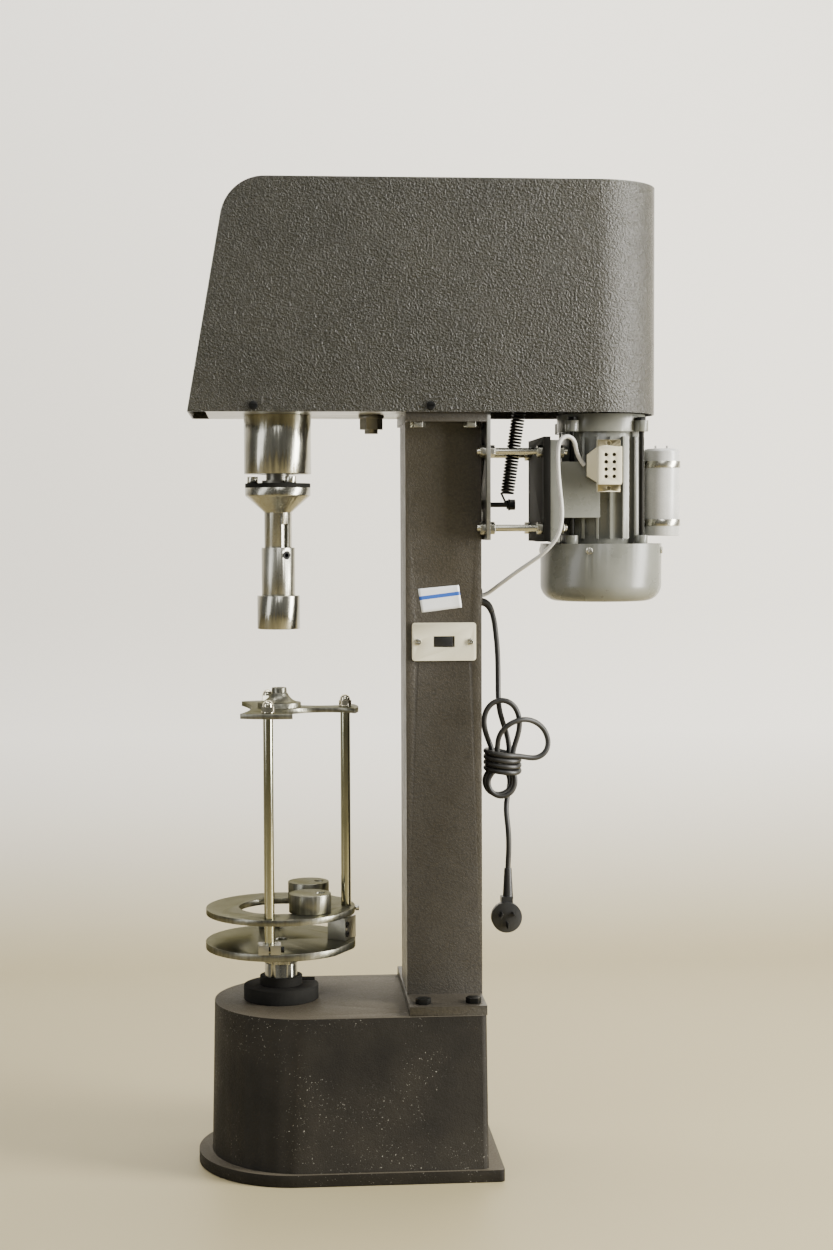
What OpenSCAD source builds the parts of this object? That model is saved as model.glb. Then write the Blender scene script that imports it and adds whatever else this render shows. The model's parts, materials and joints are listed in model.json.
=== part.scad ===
// Floor-standing bottle capping machine.
// Origin: on the floor, on the spindle axis. +X runs back to the motor, +Z is up. Millimetres.

/* [Base] */
// Height of the base casting
base_h = 194; // [165:1:240]
// Width of the base casting at its top
base_w = 222; // [200:1:270]
// Distance from the spindle axis to the rounded front of the base
base_front = 80; // [76:1:100]
// Distance from the spindle axis to the back of the base
base_back = 238; // [238:1:290]
// Wall thickness of the casting
base_wall = 10; // [8:1:14]
// Side draft of the casting, each side
base_draft = 4; // [1:0.5:8]
// Thickness of the foot rim
foot_t = 14; // [10:1:18]
// How far the foot rim stands out at the front and back
foot_rim = 20; // [12:1:26]
// How far the foot rim stands out at the sides
foot_side = 4; // [3:1:10]

/* [Column] */
// Side of the square column tube
col_w = 90; // [75:1:100]
// Wall of the column tube
col_wall = 4; // [3:0.5:6]
// Distance from the spindle axis to the column centre
col_x = 194.5; // [185:0.5:198]
// Height of the underside of the head plate
head_z = 895; // [860:1:1080]
// Thickness of the welded column flanges
flange_t = 11; // [8:1:14]
// Width of the foot flange
foot_flange_w = 216; // [200:1:218]
// Width of the top flange
top_flange_w = 150; // [144:1:154]
// Size of the frame bolts
frame_bolt_d = 10; // [8:1:10]

/* [Head and cover] */
// Thickness of the head plate
head_t = 12; // [10:1:16]
// Distance from the spindle axis to the front of the head plate
head_front = 83; // [70:1:90]
// Width of the sheet cover
cover_w = 160; // [156:1:190]
// Height of the sheet cover
cover_h = 269; // [240:1:320]
// Sheet thickness of the cover
cover_t = 1.5; // [1:0.5:3]
// Distance from the spindle axis to the front bottom edge of the cover
cover_front = 104; // [96:1:120]
// Distance from the spindle axis to the rounded rear of the cover
cover_rear = 453; // [448:1:480]
// Lean of the cover front, in degrees
cover_lean = 10; // [5:1:14]
// Radius of the cover's upper front corner
cover_r = 52; // [30:1:60]

/* [Spindle] */
// Diameter of the spindle shaft
spindle_d = 28; // [24:1:30]
// Outer diameter of the drive sleeve
sleeve_d = 40; // [38:1:42]
// Outer diameter of the bearing housing
housing_d = 80; // [78:1:92]
// Length of the bearing housing
housing_h = 70; // [60:1:80]
// Outer diameter of the spindle ball bearings
bearing_d = 62; // [58:1:64]
// Width of the spindle ball bearings
bearing_w = 12; // [10:1:14]
// Free travel of the spindle
feed = 30; // [20:1:32]
// Gap between the bearing housing and the drive disc
neck_gap = 11; // [10:1:14]
// Diameter of the drive disc and cone
disc_d = 78; // [72:1:86]
// Thickness of the drive disc
disc_t = 5; // [4:0.5:8]
// Diameter of the stem
stem_d = 32.8; // [30:0.2:34]
// Length of the stem below the cone
stem_l = 62.5; // [58:0.5:70]

/* [Chuck] */
// Outer diameter of the chuck sleeve
chuck_sleeve_d = 40; // [39:0.5:44]
// Visible length of the chuck sleeve
chuck_sleeve_l = 57; // [52:1:66]
// Outer diameter of the chuck cup
cup_d = 51; // [48:1:58]
// Length of the chuck cup
cup_l = 40; // [36:1:46]
// Bore of the rubber cap socket
socket_d = 30; // [24:1:34]
// Depth of the rubber cap socket
socket_l = 22.5; // [16:0.5:24]
// Spring travel of the chuck
chuck_travel = 20; // [12:1:22]

/* [Rack] */
// Diameter of the two rack discs
rack_d = 180; // [168:1:200]
// Thickness of the lower disc
rack_t = 8.5; // [7:0.5:12]
// Thickness of the stop ring
ring_t = 7; // [6:0.5:9]
// Hole of the stop ring
ring_hole = 100; // [84:1:100]
// Gap between the lower disc and the stop ring
ring_gap = 33; // [30:1:40]
// Diameter of the rack rods
rod_d = 12; // [10:0.5:12]
// Free length of the rods above the lower disc
rod_l = 275; // [235:1:285]
// Radius of the rod circle
rod_r = 79; // [74:0.5:80]
// Angle between the back rod and each side rod, in degrees
rod_angle = 100; // [96:1:104]
// Thickness of the top spider
spider_t = 6; // [5:0.5:8]
// Outer radius of the spider arms
spider_r = 95; // [92:1:99]
// Diameter of the bottle stops
stop_d = 50; // [44:1:52]
// Height of the bottle stops
stop_h = 22.5; // [18:0.5:26]
// Eccentricity of the bottle stops
stop_ecc = 12.5; // [8:0.5:13]

/* [Rack post] */
// Diameter of the rack post
post_d = 39; // [35:1:42]
// Across flats of the post nut
post_nut = 36; // [30:1:38]
// Height of the post nut
post_nut_h = 19.5; // [16:0.5:22]
// Diameter of the post flange
post_flange_d = 90; // [80:1:96]
// Thickness of the post flange
post_flange_t = 17; // [14:1:20]
// Diameter of the lock ring
lock_d = 51; // [50:1:56]
// Height of the lock ring
lock_h = 10.5; // [9:0.5:12]

/* [Motor] */
// Height of the motor shaft above its feet
motor_h = 71; // [71:1:73]
// Foot hole spacing across the motor
motor_a = 112; // [108:1:114]
// Foot hole spacing along the motor
motor_b = 90; // [80:1:92]
// Diameter of the motor fan cowl
cowl_d = 146; // [140:1:149]
// Height of the motor fan cowl
cowl_h = 69; // [60:1:76]
// Diameter of the motor body
motor_d = 96; // [90:1:98]
// Length of the motor body with its end shield
motor_l = 154; // [150:1:160]
// Diameter of the motor shaft
shaft_d = 14; // [12:1:16]
// Diameter of the studs that carry the motor
stud_d = 8; // [7:0.5:8]
// Space between the bracket and the motor plate
stud_space = 63; // [56:1:70]
// Diameter of the capacitor
cap_d = 44; // [38:1:46]
// Length of the capacitor
cap_l = 102; // [80:1:110]

/* [Drive] */
// Pitch diameter of the motor pulley
motor_pulley_d = 50; // [44:1:56]
// Pitch diameter of the large idler pulley
idler_big_d = 118; // [104:1:124]
// Pitch diameter of the small idler pulley
idler_small_d = 56; // [50:1:60]
// Pitch diameter of the spindle pulley
spindle_pulley_d = 118; // [104:1:124]
// Distance from the spindle axis to the idler axle
idler_x = 112; // [110:1:116]
// Diameter of the idler axle
axle_d = 16; // [12:1:18]

/* [Hidden] */
$fn = 64;
fit = 0.05;      // radial clearance of a running fit
loose = 0.3;     // clearance round a fastener and between moving faces
eps = 0.5;       // overshoot of a cut

paint = [0.31, 0.29, 0.25];
black = [0.08, 0.08, 0.08];
steel = [0.75, 0.75, 0.73];
bright = [0.85, 0.85, 0.84];
grey = [0.50, 0.52, 0.47];

// Levels of the spindle and chuck, from the head plate down
housing_z = head_z - housing_h;
disc_z = housing_z - neck_gap - disc_t;
cone_rim = 9.5;
cone_h = 20;
stem_z = disc_z - cone_rim - cone_h;
stem_end = stem_z - stem_l;
sleeve_top = stem_z - 42;
cup_top = sleeve_top - chuck_sleeve_l;
cup_z = cup_top - cup_l;
sleeve_floor = cup_top - 13;
slot_w = 8.2;
slot_top = stem_z - 14;
guide_z = sleeve_top - 9;
guide_angle = -60;
guide_tip = 8;
guide_head = 10;
shaft_top = head_z + 180;
collar_h = 24;
collar_z = head_z + 152;
collar_d = 60;
groove_d = 44;
groove_h = 10.6;
keyway_w = 8;
disc_screw_pcd = 60;

// Drive levels above the head plate
belt_w = 12;
pulley_h = 20;
stage1_z = head_z + head_t + 5;
stage2_z = stage1_z + pulley_h + 5;
sleeve_z = housing_z + 2;
lever_rear = 308.5;
lever_t = 24;
lever_pin_d = 12;
lever_boss = 18;

// Column and bracket
flange_front = col_x - col_w / 2 - 1.5;
flange_rear = col_x + col_w / 2 + 3.5;
column_z = base_h + flange_t;
bracket_t = 4.5;
bracket_w = 144;
bracket_h = 149;
top_bolt_x = 31;
top_bolt_y = 62;
foot_bolt_x = 29.5;
foot_bolt_y = 91;
bolt_head = 0.64 * frame_bolt_d;

// Motor
plate_x = flange_rear + bracket_t + stud_space;
plate_t = 8;
motor_x = plate_x + plate_t + motor_h;
shield_h = 21;
body_z = head_z - motor_l;
stud_z = [head_z - 135, head_z - 135 + motor_b];
rail_t = 11;
nut_h = 0.8 * stud_d;
nut_af = 1.6 * stud_d;
switch_r = 3.5;
cowl_turn = 20;
fin_out = 7;
fin_pitch = 16;
fin_first = -29;
fin_w = 3;
fin_wide = 8;
cap_x = motor_x + motor_d / 2 + 4 + cap_d / 2;
cap_z = body_z + 9;
motor_bearing_d = 35;
motor_bearing_w = 11;

// Rack levels
ring_nut_z = base_h + post_flange_t + loose;
nut_z = ring_nut_z + lock_h + 15.7;
rack_z = nut_z + post_nut_h;
ring_z = rack_z + rack_t + ring_gap;
spider_z = rack_z + rack_t + rod_l;
stop_z = ring_z + ring_t + loose;
stop_y = 39.5;
stop_x = 34.5;
stop_screw_x = stop_x + stop_ecc;
rod_points = [for (a = [0, rod_angle, -rod_angle]) [rod_r * cos(a), rod_r * sin(a), a]];
flat_angle = -30;
flat_cut = 3;
post_low = base_h - 90;
neck_d = 24;
spigot_d = 16;

// Power cord: the free stretches above and below the hank, by hand
cord_d = 6.6;
cord_top_z = 671;
hank_x = 268;
hank_top = 552;
hank_low = 435;
plug_top = 347;
plug_z = 309;
plug_x = 275;
cord_upper = [
  [246, 8, cord_top_z], [250.5, 8, 667], [254, 8, 656], [257, 8, 643], [261, 7, 628], [264, 5, 606], [265, 3, 585],
  [266, 1, 567], [267, 0, hank_top + 6], [267, 0, hank_top]
];
cord_lower = [
  [270, 0, hank_low], [270, 0, hank_low - 7], [273, 0, 412], [276, 0, 392], [277, 0, 370],
  [276, 0, plug_top + 8], [276, 0, plug_top]
];
lead_d = 5;
lead_y = -76;
lead_route = [
  [357, -62.5, 836.5], [352.5, -63.5, 842.5], [349.5, -65.5, 849], [348, -68, 856], [344.8, -71, 863],
  [338.5, -74, 867.3], [332, -75.8, 865.8], [327.6, lead_y, 860], [326.2, lead_y, 852],
  [326, lead_y, 840], [326.5, lead_y, 826], [328, lead_y, 808], [330, lead_y, 790], [330.8, lead_y, 775], [329, -75.5, 760],
  [323.5, -73, 746], [311, -66, 731], [297, -58, 720], [281, -47, 708], [264, -33, 694], [255, -25.5, 686.8],
  [250.5, -21.5, 682], [247, -20, 680], [col_x + col_w / 2 + 3, -20, 680]
];

// ---- helpers ----
module rod(d, h, z = 0) { translate([0, 0, z]) cylinder(d = d, h = h); }
module ring(d, hole, h, z = 0) {
  translate([0, 0, z]) difference() {
    cylinder(d = d, h = h);
    translate([0, 0, -eps]) cylinder(d = hole, h = h + 2 * eps);
  }
}
module hexagon(af, h) { cylinder(d = af / cos(30), h = h, $fn = 6); }
module hex_bolt(d, grip) {
  hexagon(1.6 * d, 0.64 * d);
  translate([0, 0, -grip]) cylinder(d = d, h = grip);
}
module socket_screw(d, head_d, head_h, grip) {
  difference() {
    union() {
      cylinder(d = head_d, h = head_h);
      translate([0, 0, -grip]) cylinder(d = d, h = grip);
    }
    translate([0, 0, head_h - 0.55 * d]) hexagon(0.7 * d, d);
  }
}
module slotted_screw(d, head_d, head_h, grip) {
  difference() {
    union() {
      cylinder(d = head_d, h = head_h);
      translate([0, 0, -grip]) cylinder(d = d, h = grip);
    }
    translate([-head_d, -0.5, 0.55 * head_h]) cube([2 * head_d, 1, head_h]);
  }
}
module box(x0, x1, y0, y1, z0, z1) { translate([x0, y0, z0]) cube([x1 - x0, y1 - y0, z1 - z0]); }

// Sweep of a round section along a list of points, as one polyhedron
function unit(v) = v / norm(v);
function tangent(p, i) = unit(p[min(i + 1, len(p) - 1)] - p[max(i - 1, 0)]);
function side_of(t) = unit(cross(t, abs(t[1]) < 0.9 ? [0, 1, 0] : [1, 0, 0]));
function section(p, i, r, n) =
  let (t = tangent(p, i), a = side_of(t), b = cross(t, a))
  [for (k = [0 : n - 1]) p[i] + r * (a * cos(360 * k / n) + b * sin(360 * k / n))];
module sweep(p, d, n) {
  rows = len(p);
  points = [for (i = [0 : rows - 1]) each section(p, i, d / 2, n)];
  sides = [
    for (i = [0 : rows - 2], k = [0 : n - 1])
      [i * n + k, i * n + (k + 1) % n, (i + 1) * n + (k + 1) % n, (i + 1) * n + k]
  ];
  low = [for (k = [n - 1 : -1 : 0]) k];
  high = [for (k = [0 : n - 1]) (rows - 1) * n + k];
  polyhedron(points, concat(sides, [low, high]), convexity = 10);
}

// V-pulley: groove on pitch diameter d, body from z to z + pulley_h
module pulley_disc(d) {
  rotate_extrude() polygon([
    [0, 0], [d / 2 + 4, 0], [d / 2 + 4, 3], [d / 2 - 6, 6.5], [d / 2 - 6, pulley_h - 6.5],
    [d / 2 + 4, pulley_h - 3], [d / 2 + 4, pulley_h], [0, pulley_h]
  ]);
}
// Trapezoid V-belt loop round two pulleys
module belt_outline(x0, d0, x1, d1, grow) {
  hull() {
    translate([x0, 0]) circle(r = d0 / 2 + grow, $fn = 48);
    translate([x1, 0]) circle(r = d1 / 2 + grow, $fn = 48);
  }
}
module belt(x0, d0, x1, d1, z) {
  translate([0, 0, z + pulley_h / 2 - belt_w / 4]) linear_extrude(belt_w / 2) difference() {
    belt_outline(x0, d0, x1, d1, 3);
    belt_outline(x0, d0, x1, d1, -5.7);
  }
}

// ---- base ----
module base_outline(half, front, back, corner) {
  translate([half - front, 0]) circle(r = half);
  difference() {
    translate([half - front, -half]) square([front + back - half, 2 * half]);
    for (s = [-1, 1]) translate([back, s * half]) difference() {
      square(2 * corner, center = true);
      translate([-corner, -s * corner]) circle(r = corner);
    }
  }
}
module base_shell(inset, z0, z1) {
  half = base_w / 2 - inset;
  hull() {
    translate([0, 0, z0]) linear_extrude(0.01)
      base_outline(half + base_draft, base_front - inset + base_draft, base_back - inset + base_draft / 2, 8);
    translate([0, 0, z1 - 0.01]) linear_extrude(0.01)
      base_outline(half, base_front - inset, base_back - inset, 8);
  }
}
module base_casting() {
  color(paint) difference() {
    union() {
      base_shell(0, foot_t / 2, base_h);
      linear_extrude(foot_t) base_outline(
        base_w / 2 + base_draft + foot_side, base_front + foot_rim, base_back + foot_rim, 6);
    }
    difference() {
      base_shell(base_wall, -eps, base_h - base_wall - 2);
      for (x = [-1, 1], y = [-1, 1]) translate([col_x + x * foot_bolt_x, y * foot_bolt_y, base_h - 40])
        cylinder(d = 2.4 * frame_bolt_d, h = 60);
    }
    linear_extrude(plate_drop, center = true) base_outline(
      base_w / 2 - base_wall + base_draft + 5, base_front - 5, base_back - 5, 4);
    rod(guide_d + 2 * loose, base_h + eps, 0);
    for (x = [-1, 1], y = [-1, 1]) translate([col_x + x * foot_bolt_x, y * foot_bolt_y, base_h - 26])
      cylinder(d = frame_bolt_d + 2 * fit, h = 40);
  }
}
plate_drop = 6;
guide_d = post_d + 13;
module base_plate() {
  color(black) linear_extrude(plate_drop / 2) base_outline(
    base_w / 2 - base_wall + base_draft + 5 - loose, base_front - 5 - loose, base_back - 5 - loose, 4);
}
module post_flange() {
  color(black) difference() {
    union() {
      rod(post_flange_d, post_flange_t, base_h);
      rod(guide_d, 100, base_h - 100);
    }
    rod(post_d + 2 * fit, 300, base_h - 150);
  }
}

// ---- column, head and cover ----
module column() {
  color(paint) difference() {
    union() {
      translate([col_x - col_w / 2, -col_w / 2, base_h]) cube([col_w, col_w, head_z - base_h]);
      box(flange_front, col_x + col_w / 2 - 1, -foot_flange_w / 2, foot_flange_w / 2, base_h, column_z);
      box(flange_front, flange_rear, -top_flange_w / 2, top_flange_w / 2, head_z - flange_t, head_z);
    }
    translate([col_x - col_w / 2 + col_wall, -col_w / 2 + col_wall, base_h - eps])
      cube([col_w - 2 * col_wall, col_w - 2 * col_wall, head_z - base_h + 2 * eps]);
    for (x = [-1, 1], y = [-1, 1]) {
      translate([col_x + x * foot_bolt_x, y * foot_bolt_y, base_h - eps])
        cylinder(d = frame_bolt_d + loose, h = flange_t + 2 * eps);
      translate([col_x + x * top_bolt_x, y * top_bolt_y, head_z - flange_t - eps])
        cylinder(d = frame_bolt_d + loose, h = flange_t + 2 * eps);
    }
    translate([col_x, -col_w / 2, switch_z]) cube([58, 2 * col_wall + 2 * eps, 34], center = true);
    for (g = glands) translate([col_x + col_w / 2, g[0], g[1]]) rotate([0, 90, 0])
      cylinder(d = g[2] + 2 * loose, h = 4 * col_wall, center = true);
    for (x = [-1, 1]) translate([col_x + x * switch_screw_x, -col_w / 2, switch_z]) rotate([90, 0, 0])
      cylinder(d = 4.2, h = 4 * col_wall, center = true);
  }
}
switch_z = base_h + 432;
switch_screw_x = 31;
glands = [[-20, 680, 12], [8, cord_top_z, 14]];
module frame_bolts() {
  color(black) {
    for (x = [-1, 1], y = [-1, 1]) {
      translate([col_x + x * foot_bolt_x, y * foot_bolt_y, column_z]) hex_bolt(frame_bolt_d, flange_t + 22);
      translate([col_x + x * top_bolt_x, y * top_bolt_y, head_z - flange_t]) mirror([0, 0, 1])
        hex_bolt(frame_bolt_d, flange_t + head_t - 1);
    }
    for (a = [45 : 90 : 315]) rotate(a) translate([housing_bolt_r, 0, head_z + head_t]) hex_bolt(housing_bolt_d, head_t + 14);
  }
}
housing_bolt_d = 6;
housing_bolt_r = (bearing_d + housing_d) / 4;
module head_plate() {
  color(steel) difference() {
    box(-head_front, flange_rear, -plate_half, plate_half, head_z, head_z + head_t);
    rod(sleeve_d + 12, head_t + 2 * eps, head_z - eps);
    translate([idler_x, 0, 0]) rod(axle_d + 2 * fit, head_t + 2 * eps, head_z - eps);
    for (a = [45 : 90 : 315]) rotate(a) translate([housing_bolt_r, 0, 0])
      rod(housing_bolt_d + loose, head_t + 2 * eps, head_z - eps);
    for (x = [-1, 1], y = [-1, 1]) translate([col_x + x * top_bolt_x, y * top_bolt_y, 0])
      rod(frame_bolt_d + loose, head_t + 2 * eps, head_z - eps);
    for (x = cover_screw_x, y = [-1, 1]) translate([x, y * plate_half, cover_screw_z]) rotate([90, 0, 0])
      cylinder(d = cover_screw_d + 2 * fit, h = 30, center = true);
  }
}
plate_half = cover_w / 2 - cover_t - loose;
cover_screw_x = [-28, 177];
cover_screw_z = head_z + head_t / 2 + 1;
cover_screw_d = 5;
module cover_side(inset) {
  slope = tan(cover_lean);
  low = -cover_front + inset / cos(cover_lean);
  high = low + cover_h * slope - inset * slope;
  r = cover_r - inset;
  reach = r / tan(45 + cover_lean / 2);
  top = cover_h - inset;
  union() {
    polygon([
      [low, -inset], [low + (top - reach * cos(cover_lean)) * slope, top - reach * cos(cover_lean)],
      [high + reach, top - r], [high + reach, top], [cover_rear + 10, top], [cover_rear + 10, -inset]
    ]);
    translate([high + reach, top - r]) circle(r = r);
  }
}
module cover_plan(inset) {
  half = cover_w / 2 - inset;
  translate([cover_rear - cover_w / 2, 0]) circle(r = half);
  translate([-cover_front - 10, -half]) square([cover_rear + cover_front + 10 - cover_w / 2, 2 * half]);
}
module cover_form(inset) {
  intersection() {
    translate([0, 0, head_z]) rotate([90, 0, 0]) linear_extrude(cover_w + 10, center = true) cover_side(inset);
    translate([0, 0, head_z - inset]) linear_extrude(cover_h) cover_plan(inset);
  }
}
module cover() {
  color(paint) difference() {
    cover_form(0);
    cover_form(cover_t);
    for (x = cover_screw_x, y = [-1, 1]) translate([x, y * cover_w / 2, cover_screw_z]) rotate([90, 0, 0])
      cylinder(d = cover_screw_d + loose, h = 12, center = true);
  }
}
module panel_screws() {
  color(black) {
    for (x = cover_screw_x, y = [-1, 1]) translate([x, y * cover_w / 2, cover_screw_z])
      rotate([y * -90, 0, 0]) slotted_screw(cover_screw_d, 2 * cover_screw_d, 3, 14);
  }
  color(steel) for (x = [-1, 1]) translate([col_x + x * switch_screw_x, -col_w / 2 - switch_t, switch_z])
    rotate([90, 0, 0]) slotted_screw(4, 7.5, 2, 12);
}
switch_t = 3;

// ---- bearing housing, spindle and chuck ----
module bearing_housing() {
  color(bright) difference() {
    rod(housing_d, housing_h, housing_z);
    rod(bearing_d + 2 * fit, housing_h, housing_z + 4);
    rod(sleeve_d + 4, housing_h, housing_z - eps);
    for (a = [45 : 90 : 315]) rotate(a) translate([housing_bolt_r, 0, head_z - 16])
      cylinder(d = housing_bolt_d + 2 * fit, h = 20);
  }
}
module ball_bearings() {
  color(steel) {
    for (z = [housing_z + 4, head_z - bearing_w]) ring(bearing_d, sleeve_d + 2 * fit, bearing_w, z);
    translate([motor_x, 0, 0]) for (z = [body_z + 4, head_z - 4 - motor_bearing_w])
      ring(motor_bearing_d, shaft_d + 2 * fit, motor_bearing_w, z);
  }
}
module keyway(z0, z1) {
  box(-spindle_d / 2 - 1, -spindle_d / 2 + 4, -keyway_w / 2 - 0.15, keyway_w / 2 + 0.15, z0, z1);
}
module spindle_shaft() {
  color(steel) difference() {
    union() {
      rod(spindle_d, shaft_top - disc_z - disc_t, disc_z + disc_t);
      rod(spindle_d + 10, 3.5, disc_z + disc_t);
      rod(20, disc_t + 10, disc_z - 10);
      for (z = [collar_z - collar_h / 2 - 8 - loose, collar_z + collar_h / 2 + loose]) rod(spindle_d + 14, 8, z);
    }
    keyway(stage1_z - 12, stage2_z + pulley_h + feed + 6);
  }
}
module drive_disc() {
  color(black) difference() {
    rod(disc_d, disc_t, disc_z);
    rod(20 + 2 * fit, disc_t + 2 * eps, disc_z - eps);
    for (a = [60 : 120 : 300]) rotate(a) translate([disc_screw_pcd / 2, 0, 0]) rod(8 + loose, disc_t + 2 * eps, disc_z - eps);
  }
}
module disc_screws() {
  color(black) for (a = [60 : 120 : 300]) rotate(a) translate([disc_screw_pcd / 2, 0, disc_z + disc_t])
    socket_screw(8, 13, neck_gap - 3, disc_t + cone_rim - 2);
}
module spindle_cone() {
  color(bright) difference() {
    rotate_extrude() polygon([
      [0, stem_end], [stem_d / 2, stem_end], [stem_d / 2, stem_z], [disc_d / 2, disc_z - cone_rim],
      [disc_d / 2, disc_z], [0, disc_z]
    ]);
    rod(20 + 2 * fit, 10 + loose + eps, disc_z - 10 - loose);
    for (a = [60 : 120 : 300]) rotate(a) translate([disc_screw_pcd / 2, 0, 0])
      rod(8 + 2 * fit, cone_rim, disc_z - cone_rim + 1);
    rotate(guide_angle) box(stem_d / 2 - 5, stem_d / 2 + 1, -slot_w / 2, slot_w / 2,
      guide_z - guide_tip / 2 - loose, slot_top);
  }
}
module chuck_sleeve() {
  color(steel) difference() {
    rod(chuck_sleeve_d, sleeve_top - sleeve_floor, sleeve_floor);
    rod(stem_d + 2 * fit, sleeve_top - sleeve_floor, sleeve_floor + 5);
    rotate(guide_angle) translate([stem_d / 2 - 1, 0, guide_z]) rotate([0, 90, 0])
      cylinder(d = guide_head + 2 * fit, h = chuck_sleeve_d);
  }
}
module guide_screw() {
  color(black) rotate(guide_angle) translate([0, 0, guide_z]) rotate([0, 90, 0]) difference() {
    union() {
      translate([0, 0, stem_d / 2 - 4]) cylinder(d = guide_tip, h = 4 + loose);
      translate([0, 0, stem_d / 2 + loose]) cylinder(d = guide_head, h = (chuck_sleeve_d - stem_d) / 2 - loose - 0.2);
    }
    translate([0, 0, chuck_sleeve_d / 2 - 4]) hexagon(5, 6);
  }
}
module chuck_cup() {
  color(steel) difference() {
    rod(cup_d, cup_l, cup_z);
    rod(chuck_sleeve_d + 2 * fit, cup_l, sleeve_floor);
    rod(socket_d + 12, socket_l + eps, cup_z - eps);
  }
}
module chuck_liner() {
  color(black) ring(socket_d + 12 - 2 * fit, socket_d, socket_l - loose, cup_z);
}
module thrust_collar() {
  color(steel) difference() {
    rod(collar_d, collar_h, collar_z - collar_h / 2);
    rod(spindle_d + 2 * fit, collar_h + 2 * eps, collar_z - collar_h / 2 - eps);
    ring(collar_d + 2, groove_d, groove_h, collar_z - groove_h / 2);
  }
}

// ---- feed lever ----
module lever_plan() {
  difference() {
    translate([-14, -39]) square([76, 78]);
    translate([-14 - eps, -31]) square([60, 62]);
  }
  translate([60, -12]) square([lever_rear - 50, 24]);
}
module feed_lever() {
  color(paint) difference() {
    union() {
      translate([0, 0, collar_z - lever_t / 2]) linear_extrude(lever_t) lever_plan();
      for (s = [-1, 1]) translate([0, s * 27.5, collar_z]) rotate([90, 0, 0]) cylinder(d = 10, h = 8, center = true);
      translate([col_x, 0, collar_z]) rotate([90, 0, 0]) cylinder(d = 36, h = 2 * lever_boss, center = true);
    }
    translate([col_x, 0, collar_z]) rotate([90, 0, 0]) cylinder(d = lever_pin_d + 2 * fit, h = 80, center = true);
    box(lever_rear - 9, lever_rear + 20, -5, 5, collar_z - 30, collar_z + 30);
  }
  color(paint) translate([lever_rear, 0, collar_z - 6]) rotate([90, 0, 0]) cylinder(d = 5, h = 12, center = true);
}
module lever_bracket() {
  color(paint) difference() {
    union() {
      box(col_x - 15, col_x + 27, -34, 34, head_z + head_t, head_z + head_t + 8);
      for (s = [0, 1]) mirror([0, s, 0])
        box(col_x - 15, col_x + 15, lever_boss + loose, lever_boss + 8, head_z + head_t + 4, collar_z + 18);
    }
    translate([col_x, 0, collar_z]) rotate([90, 0, 0]) cylinder(d = lever_pin_d + 2 * fit, h = 80, center = true);
  }
}
module lever_pin() {
  color(steel) translate([col_x, 0, collar_z]) rotate([90, 0, 0]) {
    cylinder(d = lever_pin_d, h = 2 * lever_boss + 22, center = true);
    for (s = [0, 1]) mirror([0, 0, s]) translate([0, 0, lever_boss + 8 + loose]) cylinder(d = 18, h = 2.5);
  }
}

// ---- drive ----
module idler_axle() {
  color(steel) translate([idler_x, 0, 0]) {
    rod(axle_d, stage2_z + pulley_h + 2 - head_z + 22, head_z - 22);
    translate([0, 0, stage2_z + pulley_h + 1]) hexagon(1.5 * axle_d, 10);
    rod(axle_d + 8, stage1_z - head_z - head_t - 1, head_z + head_t);
  }
  color(steel) translate([idler_x, 0, head_z - 4 - 13]) difference() {
    union() {
      hexagon(1.5 * axle_d, 13);
      rod(1.9 * axle_d, 4, 13);
    }
    rod(axle_d + 2 * fit, 20, -1);
  }
}
module idler_pulley() {
  color(grey) translate([idler_x, 0, 0]) difference() {
    union() {
      translate([0, 0, stage1_z]) pulley_disc(idler_big_d);
      rod(40, 8, stage1_z + pulley_h - 1);
      translate([0, 0, stage2_z]) pulley_disc(idler_small_d);
    }
    rod(axle_d + 2 * fit, 80, stage1_z - 10);
  }
}
module spindle_pulley() {
  color(grey) difference() {
    union() {
      translate([0, 0, stage2_z]) pulley_disc(spindle_pulley_d);
      rod(sleeve_d + 8, stage2_z - stage1_z + 2, stage1_z);
      rod(sleeve_d, stage2_z - sleeve_z, sleeve_z);
    }
    rod(spindle_d + 2 * fit, 400, sleeve_z - 10);
  }
  color(grey) box(-spindle_d / 2 - 1, -spindle_d / 2 + 3.5, -keyway_w / 2, keyway_w / 2, stage1_z, stage2_z + 10);
}
module motor_pulley() {
  color(grey) translate([motor_x, 0, 0]) difference() {
    translate([0, 0, stage1_z]) pulley_disc(motor_pulley_d);
    rod(shaft_d + 2 * fit, 60, stage1_z - 10);
  }
}
module drive_belts() {
  color(black) {
    belt(motor_x, motor_pulley_d, idler_x, idler_big_d, stage1_z);
    belt(idler_x, idler_small_d, 0, spindle_pulley_d, stage2_z);
  }
}

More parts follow.
